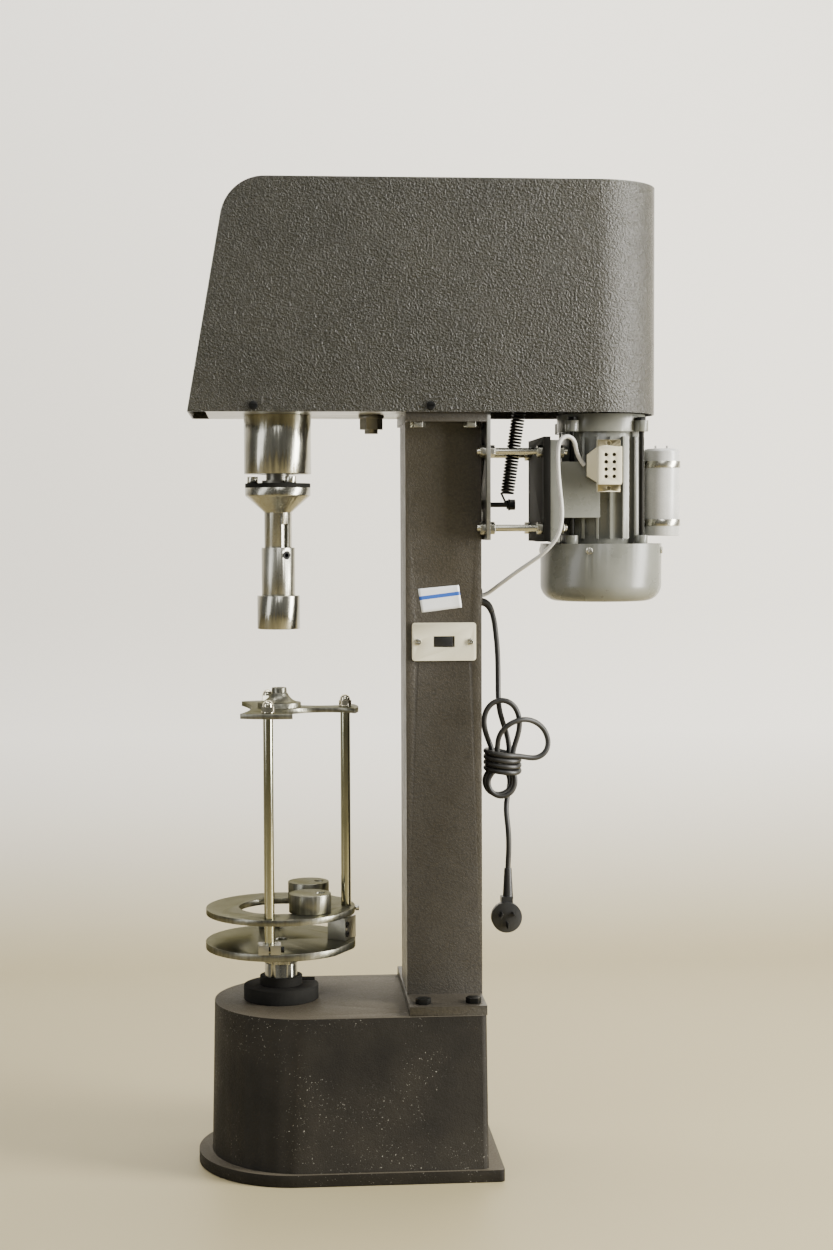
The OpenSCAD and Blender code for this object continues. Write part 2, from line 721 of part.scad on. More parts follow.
// ---- motor and its bracket ----
module motor_bracket() {
  color(grey) difference() {
    box(flange_rear, flange_rear + bracket_t, -bracket_w / 2, bracket_w / 2, head_z - bracket_h, head_z);
    for (z = stud_z, y = [-1, 1]) translate([flange_rear, y * motor_a / 2, z]) rotate([0, 90, 0])
      cylinder(d = stud_d + loose, h = 30, center = true);
    translate([flange_rear, 0, spring_bolt_z]) rotate([0, 90, 0]) cylinder(d = spring_bolt_d + loose, h = 30, center = true);
  }
}
spring_bolt_z = head_z - 107;
spring_bolt_d = 6;
spring_x = flange_rear + bracket_t + 28;
module stud_nut(x) {
  translate([x, 0, 0]) rotate([0, 90, 0]) difference() {
    hexagon(nut_af, nut_h);
    rod(stud_d + 2 * fit, nut_h + 2 * eps, -eps);
  }
}
module motor_studs() {
  rail_end = plate_x + plate_t + rail_t;
  color(steel) for (z = stud_z, y = [-1, 1]) translate([0, y * motor_a / 2, z]) {
    translate([flange_rear - 10, 0, 0]) rotate([0, 90, 0]) cylinder(d = stud_d, h = rail_end + 10 - flange_rear + 10);
    for (x = [flange_rear - nut_h, flange_rear + bracket_t, plate_x - nut_h, rail_end]) stud_nut(x);
  }
}
module motor_plate() {
  color(black) difference() {
    box(plate_x, plate_x + plate_t, -68, 68, stud_z[0] - 16, stud_z[1] + 17);
    for (z = stud_z, y = [-1, 1]) translate([plate_x, y * motor_a / 2, z]) rotate([0, 90, 0])
      cylinder(d = stud_d + loose, h = 30, center = true);
  }
}
module motor_housing() {
  top = head_z - shield_h;
  color(grey) difference() {
    union() {
      translate([motor_x, 0, 0]) {
        rod(motor_d, top - body_z, body_z);
        difference() {
          intersection() {
          union() {
            for (n = [0 : 4]) let (x = fin_first + fin_pitch * n, w = n < 3 ? fin_w : fin_wide)
              box(x - fin_w / 2, x - fin_w / 2 + w, -motor_d / 2 - fin_out, motor_d / 2 + fin_out, body_z + 6, top - 6);
            for (y = [-30 : 15 : 30]) box(0, motor_d / 2 + 2, y - 1.5, y + 1.5, body_z + 6, top - 6);
          }
          rod(motor_d + 2 * fin_out, top - body_z, body_z);
          }
          for (a = [45 : 90 : 315]) rotate(a) translate([tie_r, 0, 0]) rod(tie_lug + 2 * loose, top, body_z - 10);
        }
      }
      box(motor_x + pad_x[0], motor_x + pad_x[1], -motor_d / 2 - fin_out, -30, pad_mid + pad_low, pad_mid + pad_high);
      for (s = [0, 1]) mirror([0, s, 0]) {
        box(plate_x + plate_t, plate_x + plate_t + rail_t, motor_a / 2 - 12, motor_a / 2 + 12, stud_z[0] - 17, stud_z[1] + 13);
        box(plate_x + plate_t + rail_t / 2, motor_x - 10, motor_d / 2 + fin_out - 9, motor_d / 2 + fin_out - 1, stud_z[0] + 12, stud_z[1] - 12);
      }
    }
    for (z = stud_z, y = [-1, 1]) translate([plate_x, y * motor_a / 2, z]) rotate([0, 90, 0])
      cylinder(d = stud_d + loose, h = 60, center = true);
    translate([motor_x, 0, 0]) {
      rod(motor_d - 10, 400, body_z + 18);
      rod(motor_bearing_d + 2 * fit, 14, body_z + 4);
      rod(shaft_d + 6, 40, body_z - 10);
    }
  }
}
module motor_stator() {
  color([0.45, 0.4, 0.35]) translate([motor_x, 0, 0]) ring(motor_d - 10 - 2 * fit, 62, 76, body_z + 18);
}
module end_shield() {
  color(grey) translate([motor_x, 0, 0]) difference() {
    union() {
      rod(motor_d + 10, shield_h, head_z - shield_h);
      for (a = [45 : 90 : 315]) rotate(a) translate([tie_r, 0, 0]) rod(16, shield_h - 8, head_z - shield_h);
    }
    rod(motor_bearing_d + 2 * fit, motor_bearing_w + 4, head_z - 4 - motor_bearing_w - 4);
    rod(motor_d - 16, 10, head_z - shield_h - 5);
    rod(shaft_d + 6, 60, head_z - 40);
    for (a = [45 : 90 : 315]) rotate(a) translate([tie_r, 0, 0]) rod(6 + loose, 40, head_z - shield_h - 5);
  }
}
tie_r = motor_d / 2 + 11;
tie_lug = 15;
module fan_cowl() {
  r = 20;
  color(grey) translate([motor_x, 0, body_z - cowl_h]) difference() {
    rotate_extrude() difference() {
      union() {
        translate([0, r]) square([cowl_d / 2, cowl_h - r]);
        square([cowl_d / 2 - r, cowl_h]);
        translate([cowl_d / 2 - r, r]) circle(r = r);
      }
      translate([-r, 0]) square([r, cowl_h]);
      translate([0, r]) square([cowl_d / 2 - 2, cowl_h]);
      translate([0, 2]) square([cowl_d / 2 - r, cowl_h]);
      intersection() {
        translate([cowl_d / 2 - r, r]) circle(r = r - 2);
        translate([cowl_d / 2 - r, 0]) square([r, r]);
      }
    }
    for (n = [0 : 2], a = [0 : 360 / (8 + 6 * n) : 359]) rotate(a) translate([16 + 13 * n, 0, -eps]) cylinder(d = 7, h = 4);
    for (a = [0 : 90 : 270]) rotate(a - cowl_turn) translate([cowl_d / 2, 0, cowl_h - 8]) rotate([0, 90, 0])
      cylinder(d = 4 + loose, h = 12, center = true);
  }
  color(grey) translate([motor_x, 0, 0]) difference() {
    rod(cowl_d - 4 - 2 * fit, 5, body_z - 5);
    rod(shaft_d + 8, 10, body_z - 8);
    for (a = [0 : 60 : 300]) rotate(a) translate([52, 0, body_z - 8]) cylinder(d = 24, h = 10);
  }
}
module motor_bolts() {
  top = head_z - 8;
  color(black) {
    translate([motor_x, 0, 0]) {
      for (a = [45 : 90 : 315]) rotate(a) translate([tie_r, 0, top]) {
        difference() {
          hexagon(10, 4);
          translate([0, 0, 3]) cylinder(d = 4, h = 3);
        }
        rod(6, motor_l - 8 - 2, -(motor_l - 8 - 2));
      }
    }
  }
  color(grey) translate([motor_x, 0, 0]) for (a = [45 : 90 : 315]) rotate(a) translate([tie_r, 0, 0])
    ring(tie_lug, 6 + 2 * fit, 10, body_z);
  color(steel) translate([motor_x, 0, body_z - 8]) for (a = [0 : 90 : 270]) rotate(a - cowl_turn)
    translate([cowl_d / 2, 0, 0]) rotate([0, 90, 0]) slotted_screw(4, 8, 2, 8);
  color(steel) translate([cap_x, 0, 0]) for (z = [cap_z + 12, cap_z + cap_l - 20]) {
    ring(cap_d + 2, cap_d + 2 * fit, 8, z);
    translate([-cap_d / 2 - 2, -4, z]) cube([1.5, 8, 8]);
  }
}
module capacitor() {
  color([0.9, 0.9, 0.87]) translate([cap_x, 0, cap_z]) {
    cylinder(d = cap_d, h = cap_l);
    translate([0, 0, cap_l]) cylinder(d1 = cap_d, d2 = cap_d - 6, h = 3);
    for (s = [-1, 1]) translate([s * 7, 0, cap_l]) cube([2, 6, 14], center = true);
  }
}
pad_mid = body_z + 91.5;
pad_x = [-14, 12];
pad_low = -19;
pad_high = 22;
pad_t = 12;
block_x = [-16.5, 10.5];
block_z = 30.5;
block_rise = 22;
module terminal_block() {
  face = -motor_d / 2 - fin_out;
  front = face - pad_t;
  mid = (block_x[0] + block_x[1]) / 2;
  color(grey) translate([motor_x, face, pad_mid]) rotate([90, 0, 0]) linear_extrude(pad_t)
    polygon([[-28, -12], [-28, 13], [-15, 23], [14, 23], [14, -20], [-15, -20]]);
  color([0.87, 0.84, 0.74]) translate([motor_x, 0, pad_mid]) difference() {
    union() {
      box(block_x[0], block_x[1], front - 7, front, -block_z, block_z);
      box(block_x[0], block_x[1], front - 15, front - 7, -block_rise, block_rise);
    }
    for (x = [-4.8, 4.8], n = [-1.5 : 1.5]) translate([mid + x, front - 15, 8.5 * n]) rotate([90, 0, 0])
      cylinder(d = 4.4, h = 18, center = true);
    for (z = [-1, 1]) translate([mid, front - 7, z * (block_rise + block_z) / 2]) rotate([90, 0, 0])
      cylinder(d = 5.4, h = 6, center = true);
  }
}
module motor_rotor() {
  color(steel) translate([motor_x, 0, 0]) {
    rod(shaft_d, stage1_z + pulley_h - body_z + 50, body_z - 50);
    rod(60, 76, body_z + 18);
  }
}
module motor_fan() {
  low = body_z - 44;
  color(black) translate([motor_x, 0, 0]) {
    difference() {
      union() {
        rod(32, 30, low);
        rod(110, 3, low + 27);
        for (a = [0 : 60 : 300]) rotate(a) box(12, 54, -1.2, 1.2, low + 4, low + 28);
      }
      rod(shaft_d + 2 * fit, 80, low - 10);
    }
  }
}

// ---- return spring ----
module spring_bolt() {
  color(black) translate([flange_rear, 0, spring_bolt_z]) rotate([0, 90, 0]) {
    translate([0, 0, -3]) cylinder(d = spring_bolt_d, h = 3 + bracket_t + 31);
    translate([0, 0, bracket_t + 31]) hexagon(11, 6.5);
    translate([0, 0, bracket_t + 29.5]) ring(14, spring_bolt_d - 0.1, 1.5);
    translate([0, 0, -3]) ring(11, spring_bolt_d - 0.1, 3);
    translate([0, 0, bracket_t]) ring(11, spring_bolt_d - 0.1, 5);
  }
}
spring_d = 17;
wire_d = 2.8;
spring_low = [spring_x, 0, spring_bolt_z + 13];
spring_high = [lever_rear, 0, collar_z - 20];
spring_turns = 26;
function spring_point(s) =
  let (axis = unit(spring_high - spring_low), u = [axis[2], 0, -axis[0]], r = (spring_d - wire_d) / 2,
       a = 180 + 360 * spring_turns * s)
  spring_low + (spring_high - spring_low) * s + r * (u * cos(a) + [0, 1, 0] * sin(a));
function hook(c, r, side, a0, a1, n) =
  [for (k = [0 : n]) let (a = a0 + (a1 - a0) * k / n) c + r * (side * cos(a) + [0, 0, sin(a)])];
module return_spring() {
  low_loop = hook([spring_x, 0, spring_bolt_z], spring_bolt_d / 2 + wire_d / 2 + loose, [0, 1, 0], 250, 0, 10);
  steps = spring_turns * 10;
  coil = [for (k = [0 : steps]) spring_point(k / steps)];
  top_loop = hook([lever_rear, 0, collar_z - 6], 2.5 + wire_d / 2 + loose, [1, 0, 0], 180, -70, 10);
  color(black) sweep(concat(low_loop, coil, top_loop), wire_d, 6);
}

// ---- switch, cords ----
module switch_plate() {
  color([0.9, 0.88, 0.8]) difference() {
    union() {
      translate([col_x, -col_w / 2, switch_z]) rotate([90, 0, 0]) linear_extrude(switch_t) union() {
        square([76 - 2 * switch_r, 45], center = true);
        square([76, 45 - 2 * switch_r], center = true);
        for (x = [-1, 1], z = [-1, 1]) translate([x * (38 - switch_r), z * (22.5 - switch_r)]) circle(r = switch_r);
      }
      translate([col_x, -col_w / 2 + 12, switch_z]) cube([50, 24, 30], center = true);
    }
    translate([col_x, -col_w / 2, switch_z]) cube([25, 24, 13], center = true);
    for (x = [-1, 1]) translate([col_x + x * switch_screw_x, -col_w / 2, switch_z]) rotate([90, 0, 0])
      cylinder(d = 4 + loose, h = 20, center = true);
  }
  color(steel) translate([col_x, rocker_pivot_y, switch_z]) cylinder(d = 2, h = 15, center = true);
}
rocker_pivot_y = -col_w / 2 + 4;
module rocker() {
  color(black) translate([col_x, rocker_pivot_y, switch_z]) rotate(-8) {
    difference() {
      union() {
        translate([0, -4, 0]) cube([22, 5, 11.6], center = true);
        cylinder(d = 6, h = 11.6, center = true);
      }
      cylinder(d = 2.1, h = 20, center = true);
    }
  }
}
module cord_glands() {
  color(black) for (g = glands) translate([col_x + col_w / 2, g[0], g[1]]) rotate([0, 90, 0]) {
    translate([0, 0, -col_wall - 2]) cylinder(d = g[2], h = col_wall + 2);
    cylinder(d = g[2] + 5, h = 3);
  }
}
module motor_lead() {
  start = [motor_x - 30.1, -62.2, 833.3];
  color([0.8, 0.8, 0.76]) sweep(concat([start], lead_route), lead_d, 8);
}
module power_cord() {
  color(black) {
    sweep(concat([[col_x + col_w / 2 + 3, 8, cord_top_z]], cord_upper), cord_d, 8);
    sweep(cord_lower, cord_d, 8);
  }
}
module cord_hank() {
  color(black) translate([0, 14, 0]) rotate([90, 0, 0]) linear_extrude(30) union() {
    translate([hank_x, hank_top - 30]) circle(r = 26);
    translate([hank_x + 34, hank_top - 42]) circle(r = 26);
    translate([hank_x, hank_low + 26]) circle(r = 26);
    translate([hank_x - 12, hank_top - 12]) square([24, 12]);
    translate([hank_x - 8, hank_low]) square([20, 20]);
    translate([hank_x - 26, hank_low + 26]) square([52, hank_top - hank_low - 56]);
  }
  color(black) translate([hank_x, 0, hank_low + 28]) cylinder(d = 48, h = 37);
}
module power_plug() {
  color(black) {
    translate([plug_x + 1, 0, plug_z]) cylinder(d1 = 13, d2 = 9, h = plug_top - plug_z);
    translate([plug_x - 2, -9, plug_z - 20]) rotate([90, 0, 0]) cylinder(d = 37, h = 10, center = true);
    translate([plug_x - 2, -3, plug_z - 20]) rotate([90, 0, 0]) cylinder(d = 24, h = 14, center = true);
    translate([plug_x - 8, -9, plug_z - 12]) cube([14, 14, 16]);
  }
  color(steel) translate([plug_x - 2, -14, plug_z - 20]) for (a = [[0, -8, 0], [-7.9, 4.5, 30], [7.9, 4.5, -30]])
    translate([a[0], -8.5, a[1]]) rotate([0, a[2], 0]) cube([1.6, 17, 6.3], center = true);
}

// ---- bottle rack ----
module rim_flat(z, t) {
  rotate(flat_angle) translate([rack_d / 2 - flat_cut, -60, z - eps]) cube([20, 120, t + 2 * eps]);
}
module at_rods() { for (p = rod_points) translate([p[0], p[1], 0]) rotate(p[2]) children(); }
module rack_post() {
  color(steel) {
    rod(post_d, nut_z - post_low, post_low);
    rod(neck_d, post_nut_h - loose, nut_z);
    rod(spigot_d, rack_t + post_nut_h - 4, nut_z);
  }
  color(steel) translate([0, 0, nut_z]) difference() {
    hexagon(post_nut, post_nut_h);
    rod(neck_d + 2 * fit, 40, -5);
  }
}
module rack_disc() {
  color(bright) difference() {
    rod(rack_d, rack_t, rack_z);
    rod(spigot_d + 2 * fit, 30, rack_z - 10);
    at_rods() rod(rod_d + 2 * fit, 30, rack_z + 1);
    rim_flat(rack_z, rack_t);
  }
}
module rack_rods() {
  color(bright) at_rods() {
    rod(rod_d, spider_z - rack_z - 1, rack_z + 1);
    rod(8, spider_t + 10, spider_z);
  }
}
clamp_y = rod_d / 2 + 3.4;
clamp_w = 16 + rod_d / 2;
module rod_clamps() {
  z = rack_z + rack_t;
  color(steel) for (s = [-1, 1]) translate([rod_points[1][0], s * rod_points[1][1], z]) difference() {
    translate([-13, s > 0 ? -9 : 9 - clamp_w, 0]) cube([26, clamp_w, 11]);
    rod(rod_d + 2 * fit, 20, -eps);
    translate([-1, s > 0 ? 0 : -20, -eps]) cube([2, 20, 20]);
    translate([0, s * clamp_y, 5.5]) rotate([0, 90, 0]) cylinder(d = 4 + loose, h = 40, center = true);
  }
  color(steel) difference() {
    translate([rod_r, 0, z]) rotate(flat_angle) translate([-16, -18, 0]) cube([24, 28, 27]);
    translate([rod_r, 0, 0]) rod(rod_d + 2 * fit, 60, z - eps);
    for (h = [8, 19]) translate([rod_r, 0, z + h]) rotate(flat_angle) translate([0, -13.5, 0]) rotate([0, 90, 0])
      cylinder(d = 5 + 2 * fit, h = 60, center = true);
  }
}
module clamp_screws() {
  z = rack_z + rack_t;
  color(black) {
    for (s = [-1, 1]) translate([rod_points[1][0] + 13, s * (rod_points[1][1] + clamp_y), z + 5.5]) rotate([0, 90, 0])
      socket_screw(4, 7, 4, 22);
    for (h = [8, 19]) translate([rod_r, 0, z + h]) rotate(flat_angle) translate([8, -13.5, 0]) rotate([0, 90, 0])
      socket_screw(5, 8, 1.5, 18);
  }
}
module spider_plan() {
  gap = 33;
  half = rod_angle / 2;
  arm = 19;
  side_d = (spider_r ^ 2 - gap ^ 2) / (2 * (spider_r * cos(half - arm) - gap));
  front = 180 - rod_angle - arm;
  front_d = (spider_r ^ 2 - gap ^ 2) / (2 * (spider_r * cos(front) - gap));
  difference() {
    circle(r = spider_r);
    for (s = [-1, 1]) rotate(s * half) translate([side_d, 0]) circle(r = side_d - gap);
    translate([-front_d, 0]) circle(r = front_d - gap, $fn = 128);
  }
}
module top_spider() {
  color(bright) difference() {
    union() {
      translate([0, 0, spider_z]) linear_extrude(spider_t) spider_plan();
      translate([0, 0, spider_z + spider_t - 1]) rotate_extrude() difference() {
        square([26, 24.5]);
        translate([26.5, 24.5]) circle(r = 17.8);
        translate([9, 18]) square([20, 20]);
      }
    }
    rod(10, 60, spider_z - 10);
    at_rods() rod(8 + loose, 40, spider_z - 10);
    at_rods() translate([-38, 0, 0]) rod(5, 40, spider_z - 10);
  }
}
module dome_nuts() {
  z = spider_z + spider_t;
  color(bright) at_rods() translate([0, 0, z]) difference() {
    union() {
      cylinder(d = 15.5, h = 1.5);
      translate([0, 0, 1.5]) hexagon(13, 6);
      translate([0, 0, 8.5]) sphere(d = 12.6);
    }
    rod(8 + 2 * fit, 10.5, -eps);
  }
}
module stop_ring() {
  color(bright) difference() {
    rod(rack_d - 1, ring_t, ring_z);
    rod(ring_hole, 30, ring_z - 10);
    at_rods() rod(rod_d + 2 * fit, 30, ring_z - 10);
    rim_flat(ring_z, ring_t);
    for (s = [-1, 1]) translate([stop_screw_x, s * stop_y, ring_z - 10]) cylinder(d = 8 + 2 * fit, h = 30);
    translate([rod_r + rod_d / 2, 0, ring_z + ring_t / 2]) rotate([0, 90, 0]) cylinder(d = 4 + 2 * fit, h = 30);
  }
}
module ring_screws() {
  color(steel) translate([rack_d / 2, 0, ring_z + ring_t / 2]) rotate([0, 90, 0])
    slotted_screw(4, 7, 4.5, rack_d / 2 - rod_r - rod_d / 2 - loose);
  color(black) for (s = [-1, 1]) translate([stop_screw_x, s * stop_y, stop_z + stop_h - 8])
    socket_screw(8, 10.5, 6, stop_h - 8 + loose + ring_t);
}
module stop(s) {
  color(bright) difference() {
    translate([stop_x, s * stop_y, stop_z]) cylinder(d = stop_d, h = stop_h);
    translate([stop_screw_x, s * stop_y, 0]) {
      rod(8 + 2 * fit, 60, stop_z - 10);
      rod(11.2, 20, stop_z + stop_h - 8 - fit);
    }
  }
}
module stop_near() { stop(-1); }
module stop_far() { stop(1); }
module lock_ring() {
  color(black) {
    ring(lock_d, post_d + 2 * fit, lock_h, ring_nut_z);
    translate([lock_d / 2 - 2, 0, ring_nut_z + lock_h / 2]) rotate([0, 90, 0]) cylinder(d = 4, h = 17);
  }
}

base_casting();
base_plate();
column();
frame_bolts();
head_plate();
cover();
panel_screws();
bearing_housing();
ball_bearings();
lever_bracket();
lever_pin();
idler_axle();
motor_bracket();
motor_studs();
motor_plate();
motor_housing();
motor_stator();
end_shield();
fan_cowl();
motor_bolts();
capacitor();
terminal_block();
spring_bolt();
return_spring();
switch_plate();
cord_glands();
motor_lead();
power_cord();
cord_hank();
power_plug();
post_flange();
drive_belts();
motor_rotor();
motor_fan();
motor_pulley();
idler_pulley();
spindle_pulley();
feed_lever();
thrust_collar();
spindle_shaft();
drive_disc();
disc_screws();
spindle_cone();
chuck_sleeve();
chuck_cup();
chuck_liner();
guide_screw();
rack_post();
rack_disc();
rack_rods();
rod_clamps();
clamp_screws();
top_spider();
dome_nuts();
stop_ring();
ring_screws();
stop_near();
stop_far();
lock_ring();
rocker();
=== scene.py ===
"""Looks for the bottle capping machine: materials, softened edges, cords, spring, camera and light."""
import json
import math

import bmesh
import bpy
from mathutils import Matrix, Vector

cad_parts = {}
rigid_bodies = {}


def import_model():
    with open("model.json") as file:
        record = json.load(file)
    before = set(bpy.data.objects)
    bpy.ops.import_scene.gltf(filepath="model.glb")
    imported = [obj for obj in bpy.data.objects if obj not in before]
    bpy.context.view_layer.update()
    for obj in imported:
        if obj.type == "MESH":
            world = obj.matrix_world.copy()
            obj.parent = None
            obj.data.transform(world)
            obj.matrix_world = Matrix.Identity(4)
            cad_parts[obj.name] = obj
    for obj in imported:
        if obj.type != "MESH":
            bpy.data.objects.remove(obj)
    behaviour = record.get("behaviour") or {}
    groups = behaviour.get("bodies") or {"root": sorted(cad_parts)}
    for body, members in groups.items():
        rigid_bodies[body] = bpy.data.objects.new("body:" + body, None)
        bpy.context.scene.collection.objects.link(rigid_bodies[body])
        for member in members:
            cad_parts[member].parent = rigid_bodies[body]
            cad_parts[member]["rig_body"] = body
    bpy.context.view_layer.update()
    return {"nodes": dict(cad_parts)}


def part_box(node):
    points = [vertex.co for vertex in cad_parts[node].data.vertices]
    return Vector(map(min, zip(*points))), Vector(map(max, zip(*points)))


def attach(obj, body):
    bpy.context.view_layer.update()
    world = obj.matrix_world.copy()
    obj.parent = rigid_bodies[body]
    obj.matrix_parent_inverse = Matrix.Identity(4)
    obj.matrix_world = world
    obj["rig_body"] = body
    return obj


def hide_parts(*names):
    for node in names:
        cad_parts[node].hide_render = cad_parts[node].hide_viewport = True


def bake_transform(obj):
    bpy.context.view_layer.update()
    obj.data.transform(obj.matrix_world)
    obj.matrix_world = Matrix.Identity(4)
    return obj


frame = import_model()
NODES = frame["nodes"]
MM = 0.001


def mm(*values):
    return Vector([v * MM for v in values])


# ---------------------------------------------------------------- camera

CAMERA_PLACE = Vector((-0.0158, -2.3619, 0.7612))
CAMERA_YAW = math.radians(4.39)      # turned towards +X
CAMERA_PITCH = math.radians(-2.84)   # looking slightly down
CAMERA_ROLL = math.radians(-0.20)
CAMERA_LENS = 56.71


def add_camera():
    data = bpy.data.cameras.new("camera")
    data.sensor_width = 36
    data.lens = CAMERA_LENS
    camera = bpy.data.objects.new("camera", data)
    ahead = Vector((math.sin(CAMERA_YAW) * math.cos(CAMERA_PITCH),
                    math.cos(CAMERA_YAW) * math.cos(CAMERA_PITCH), math.sin(CAMERA_PITCH)))
    right = Vector((math.cos(CAMERA_YAW), -math.sin(CAMERA_YAW), 0))
    up = right.cross(ahead)
    c, s = math.cos(CAMERA_ROLL), math.sin(CAMERA_ROLL)
    right, up = c * right + s * up, c * up - s * right
    camera.matrix_world = Matrix((right, up, -ahead)).transposed().to_4x4()
    camera.matrix_world.translation = CAMERA_PLACE
    bpy.context.scene.collection.objects.link(camera)
    bpy.context.scene.camera = camera


# ---------------------------------------------------------------- cord routes, in millimetres

CORD_D = 6.6
CORD_STEP = 2.8                      # from point to point along a finished cord
CORD_EXIT = (242.5, 8, 671)
CORD_FALL = [(246, 8, 671), (250, 8, 670.2), (254.6, 8, 665.8), (258.6, 8, 656), (260.8, 8, 646),
             (262.3, 7.5, 634), (263.8, 6.5, 618), (264.6, 5.5, 600), (264.8, 4.5, 577), (264.8, 3, 557),
             (266, 2, 541), (270, 3.5, 526), (275, 5.5, 511), (278, 6.5, 497), (278.5, 7, 483),
             (278.5, 7, 471)]
CORD_LOW_BACK = [(281.6, 7, 462), (283, 7, 453), (277.9, 6.5, 441.1), (265.5, 5.5, 436),
                 (253.1, 4.5, 441.1), (248, 3.5, 453), (250.3, 3, 461.8), (255.2, 2.5, 467), (257.8, 2, 476)]
CORD_TOP_LOOP = [(257.8, 1.5, 487), (254.5, 0, 498), (250, -3, 509), (246.8, -5, 521), (247, -6, 534),
                 (252.5, -7, 545.5), (262.5, -7.5, 552), (274, -7.5, 551.5), (284, -7, 544),
                 (289, -6.5, 531), (289.3, -6, 518), (286.5, -5.5, 506), (283, -5, 495),
                 (281, -5, 484), (280.8, -5, 472)]
CORD_LOW_FRONT = [(282.8, -5.5, 462), (284.5, -6, 452.5), (279.5, -7, 440.5), (267.5, -8, 435.6),
                  (255.5, -8.7, 440.5), (250.5, -9, 452), (252.9, -8.8, 461), (258.6, -7.8, 467),
                  (261.8, -7.2, 476)]
CORD_RIGHT_LOOP = [(262.3, -8, 487), (262.3, -10, 499), (264.5, -13, 511), (272, -15.5, 521),
                   (283, -16, 527.5), (295, -13, 529.5), (308, -8, 526), (319.5, -4, 516.5),
                   (325, -3, 502), (322, -5, 489.5), (312, -7.5, 482.5), (301, -10, 482.5),
                   (291.5, -12.8, 484.5)]
WRAP_X, WRAP_R = 269.5, 20.5         # the turns that tie the loops together
WRAP_TOP, WRAP_LOW = 489.5, 465
WRAP_TURNS, WRAP_STEPS = 3.583, 12   # points for each turn
WRAP_TILT = 4
WRAP_START, WRAP_HIGH_SIDE = math.radians(-50), math.radians(150)
CORD_DROP = [(273, 20.6, 465.5), (279, 19.6, 460), (281, 18, 451.5), (279.5, 15.5, 442),
             (276.5, 12, 431), (275, 8, 419.5), (275.3, 4, 408), (276.4, 1, 395), (277, 0, 382),
             (277, 0, 368), (276.4, 0, 357), (276, 0, 347)]

LEAD_D = 5
LEAD_EXIT = (359.4, -62.2, 833.3)
LEAD_ROUTE = [(356.5, -62.6, 837), (352.5, -63.5, 842.5), (349.5, -65.5, 849), (347.9, -68.5, 856),
              (345.6, -71, 862.6), (340, -73.5, 867), (333, -75.2, 866.6), (328, -76, 861.2),
              (326.2, -76, 853), (326, -76, 840), (326.5, -76, 826), (328, -76, 808), (330, -76, 790),
              (330.8, -76, 775), (329, -75.5, 760), (323.5, -73, 746), (311, -66, 731),
              (297, -58, 720), (281, -47, 708), (264, -33, 694), (254.5, -25, 686),
              (248.5, -21, 681.2), (242.5, -20, 680)]


def wrap_points():
    steps = round(WRAP_TURNS * WRAP_STEPS)
    for k in range(steps + 1):
        turn = WRAP_START - 2 * math.pi * WRAP_TURNS * k / steps
        z = WRAP_TOP + (WRAP_LOW - WRAP_TOP) * k / steps
        yield (WRAP_X + WRAP_R * math.cos(turn), WRAP_R * math.sin(turn),
               z + WRAP_TILT * math.cos(turn - WRAP_HIGH_SIDE))


def smooth_path(points):
    """Catmull-Rom points through the given ones, so the round cord has no corners."""
    per_span = 6
    p = [Vector(q) for q in points]
    p = [2 * p[0] - p[1]] + p + [2 * p[-1] - p[-2]]
    out = []
    for a, b, c, d in zip(p, p[1:], p[2:], p[3:]):
        for k in range(per_span):
            t = k / per_span
            out.append(0.5 * (2 * b + (c - a) * t + (2 * a - 5 * b + 4 * c - d) * t * t
                              + (3 * b - a - 3 * c + d) * t ** 3))
    return out + [p[-2]]


def length_of(points):
    return sum((b - a).length for a, b in zip(points, points[1:]))


def evenly(points, step):
    """Points along the same path, one every step millimetres."""
    count = max(2, round(length_of(points) / step))
    gap = length_of(points) / count
    out, left = [points[0]], gap
    for a, b in zip(points, points[1:]):
        span = (b - a).length
        at = left
        while at <= span and len(out) < count:
            out.append(a.lerp(b, at / span))
            at += gap
        left = at - span
    return out + [points[-1]]


def relaxed(points):
    """The stiff cord's own smoothing: each point moves towards the middle of its neighbours."""
    for _ in range(4):
        points = points[:2] + [b * 0.5 + (a + c) * 0.25 for a, b, c
                               in zip(points[1:-3], points[2:-2], points[3:-1])] + points[-2:]
    return points


def cord_path(points):
    """Even, smooth points in metres, from route points in millimetres."""
    return [q * MM for q in relaxed(evenly(smooth_path(points), CORD_STEP))]


def cord_curve(name, points, diameter):
    """A round cord as one open spline, and its length in metres."""
    path = cord_path(points)
    data = bpy.data.curves.new(name, "CURVE")
    data.dimensions = "3D"
    data.bevel_depth = diameter * MM / 2
    data.bevel_resolution = 3
    data.use_fill_caps = True
    spline = data.splines.new("POLY")
    spline.points.add(len(path) - 1)
    for point, place in zip(spline.points, path):
        point.co = (*place, 1)
    spline.use_smooth = True
    piece = bpy.data.objects.new(name, data)
    bpy.context.scene.collection.objects.link(piece)
    return piece, length_of(path)


# ---------------------------------------------------------------- surfaces

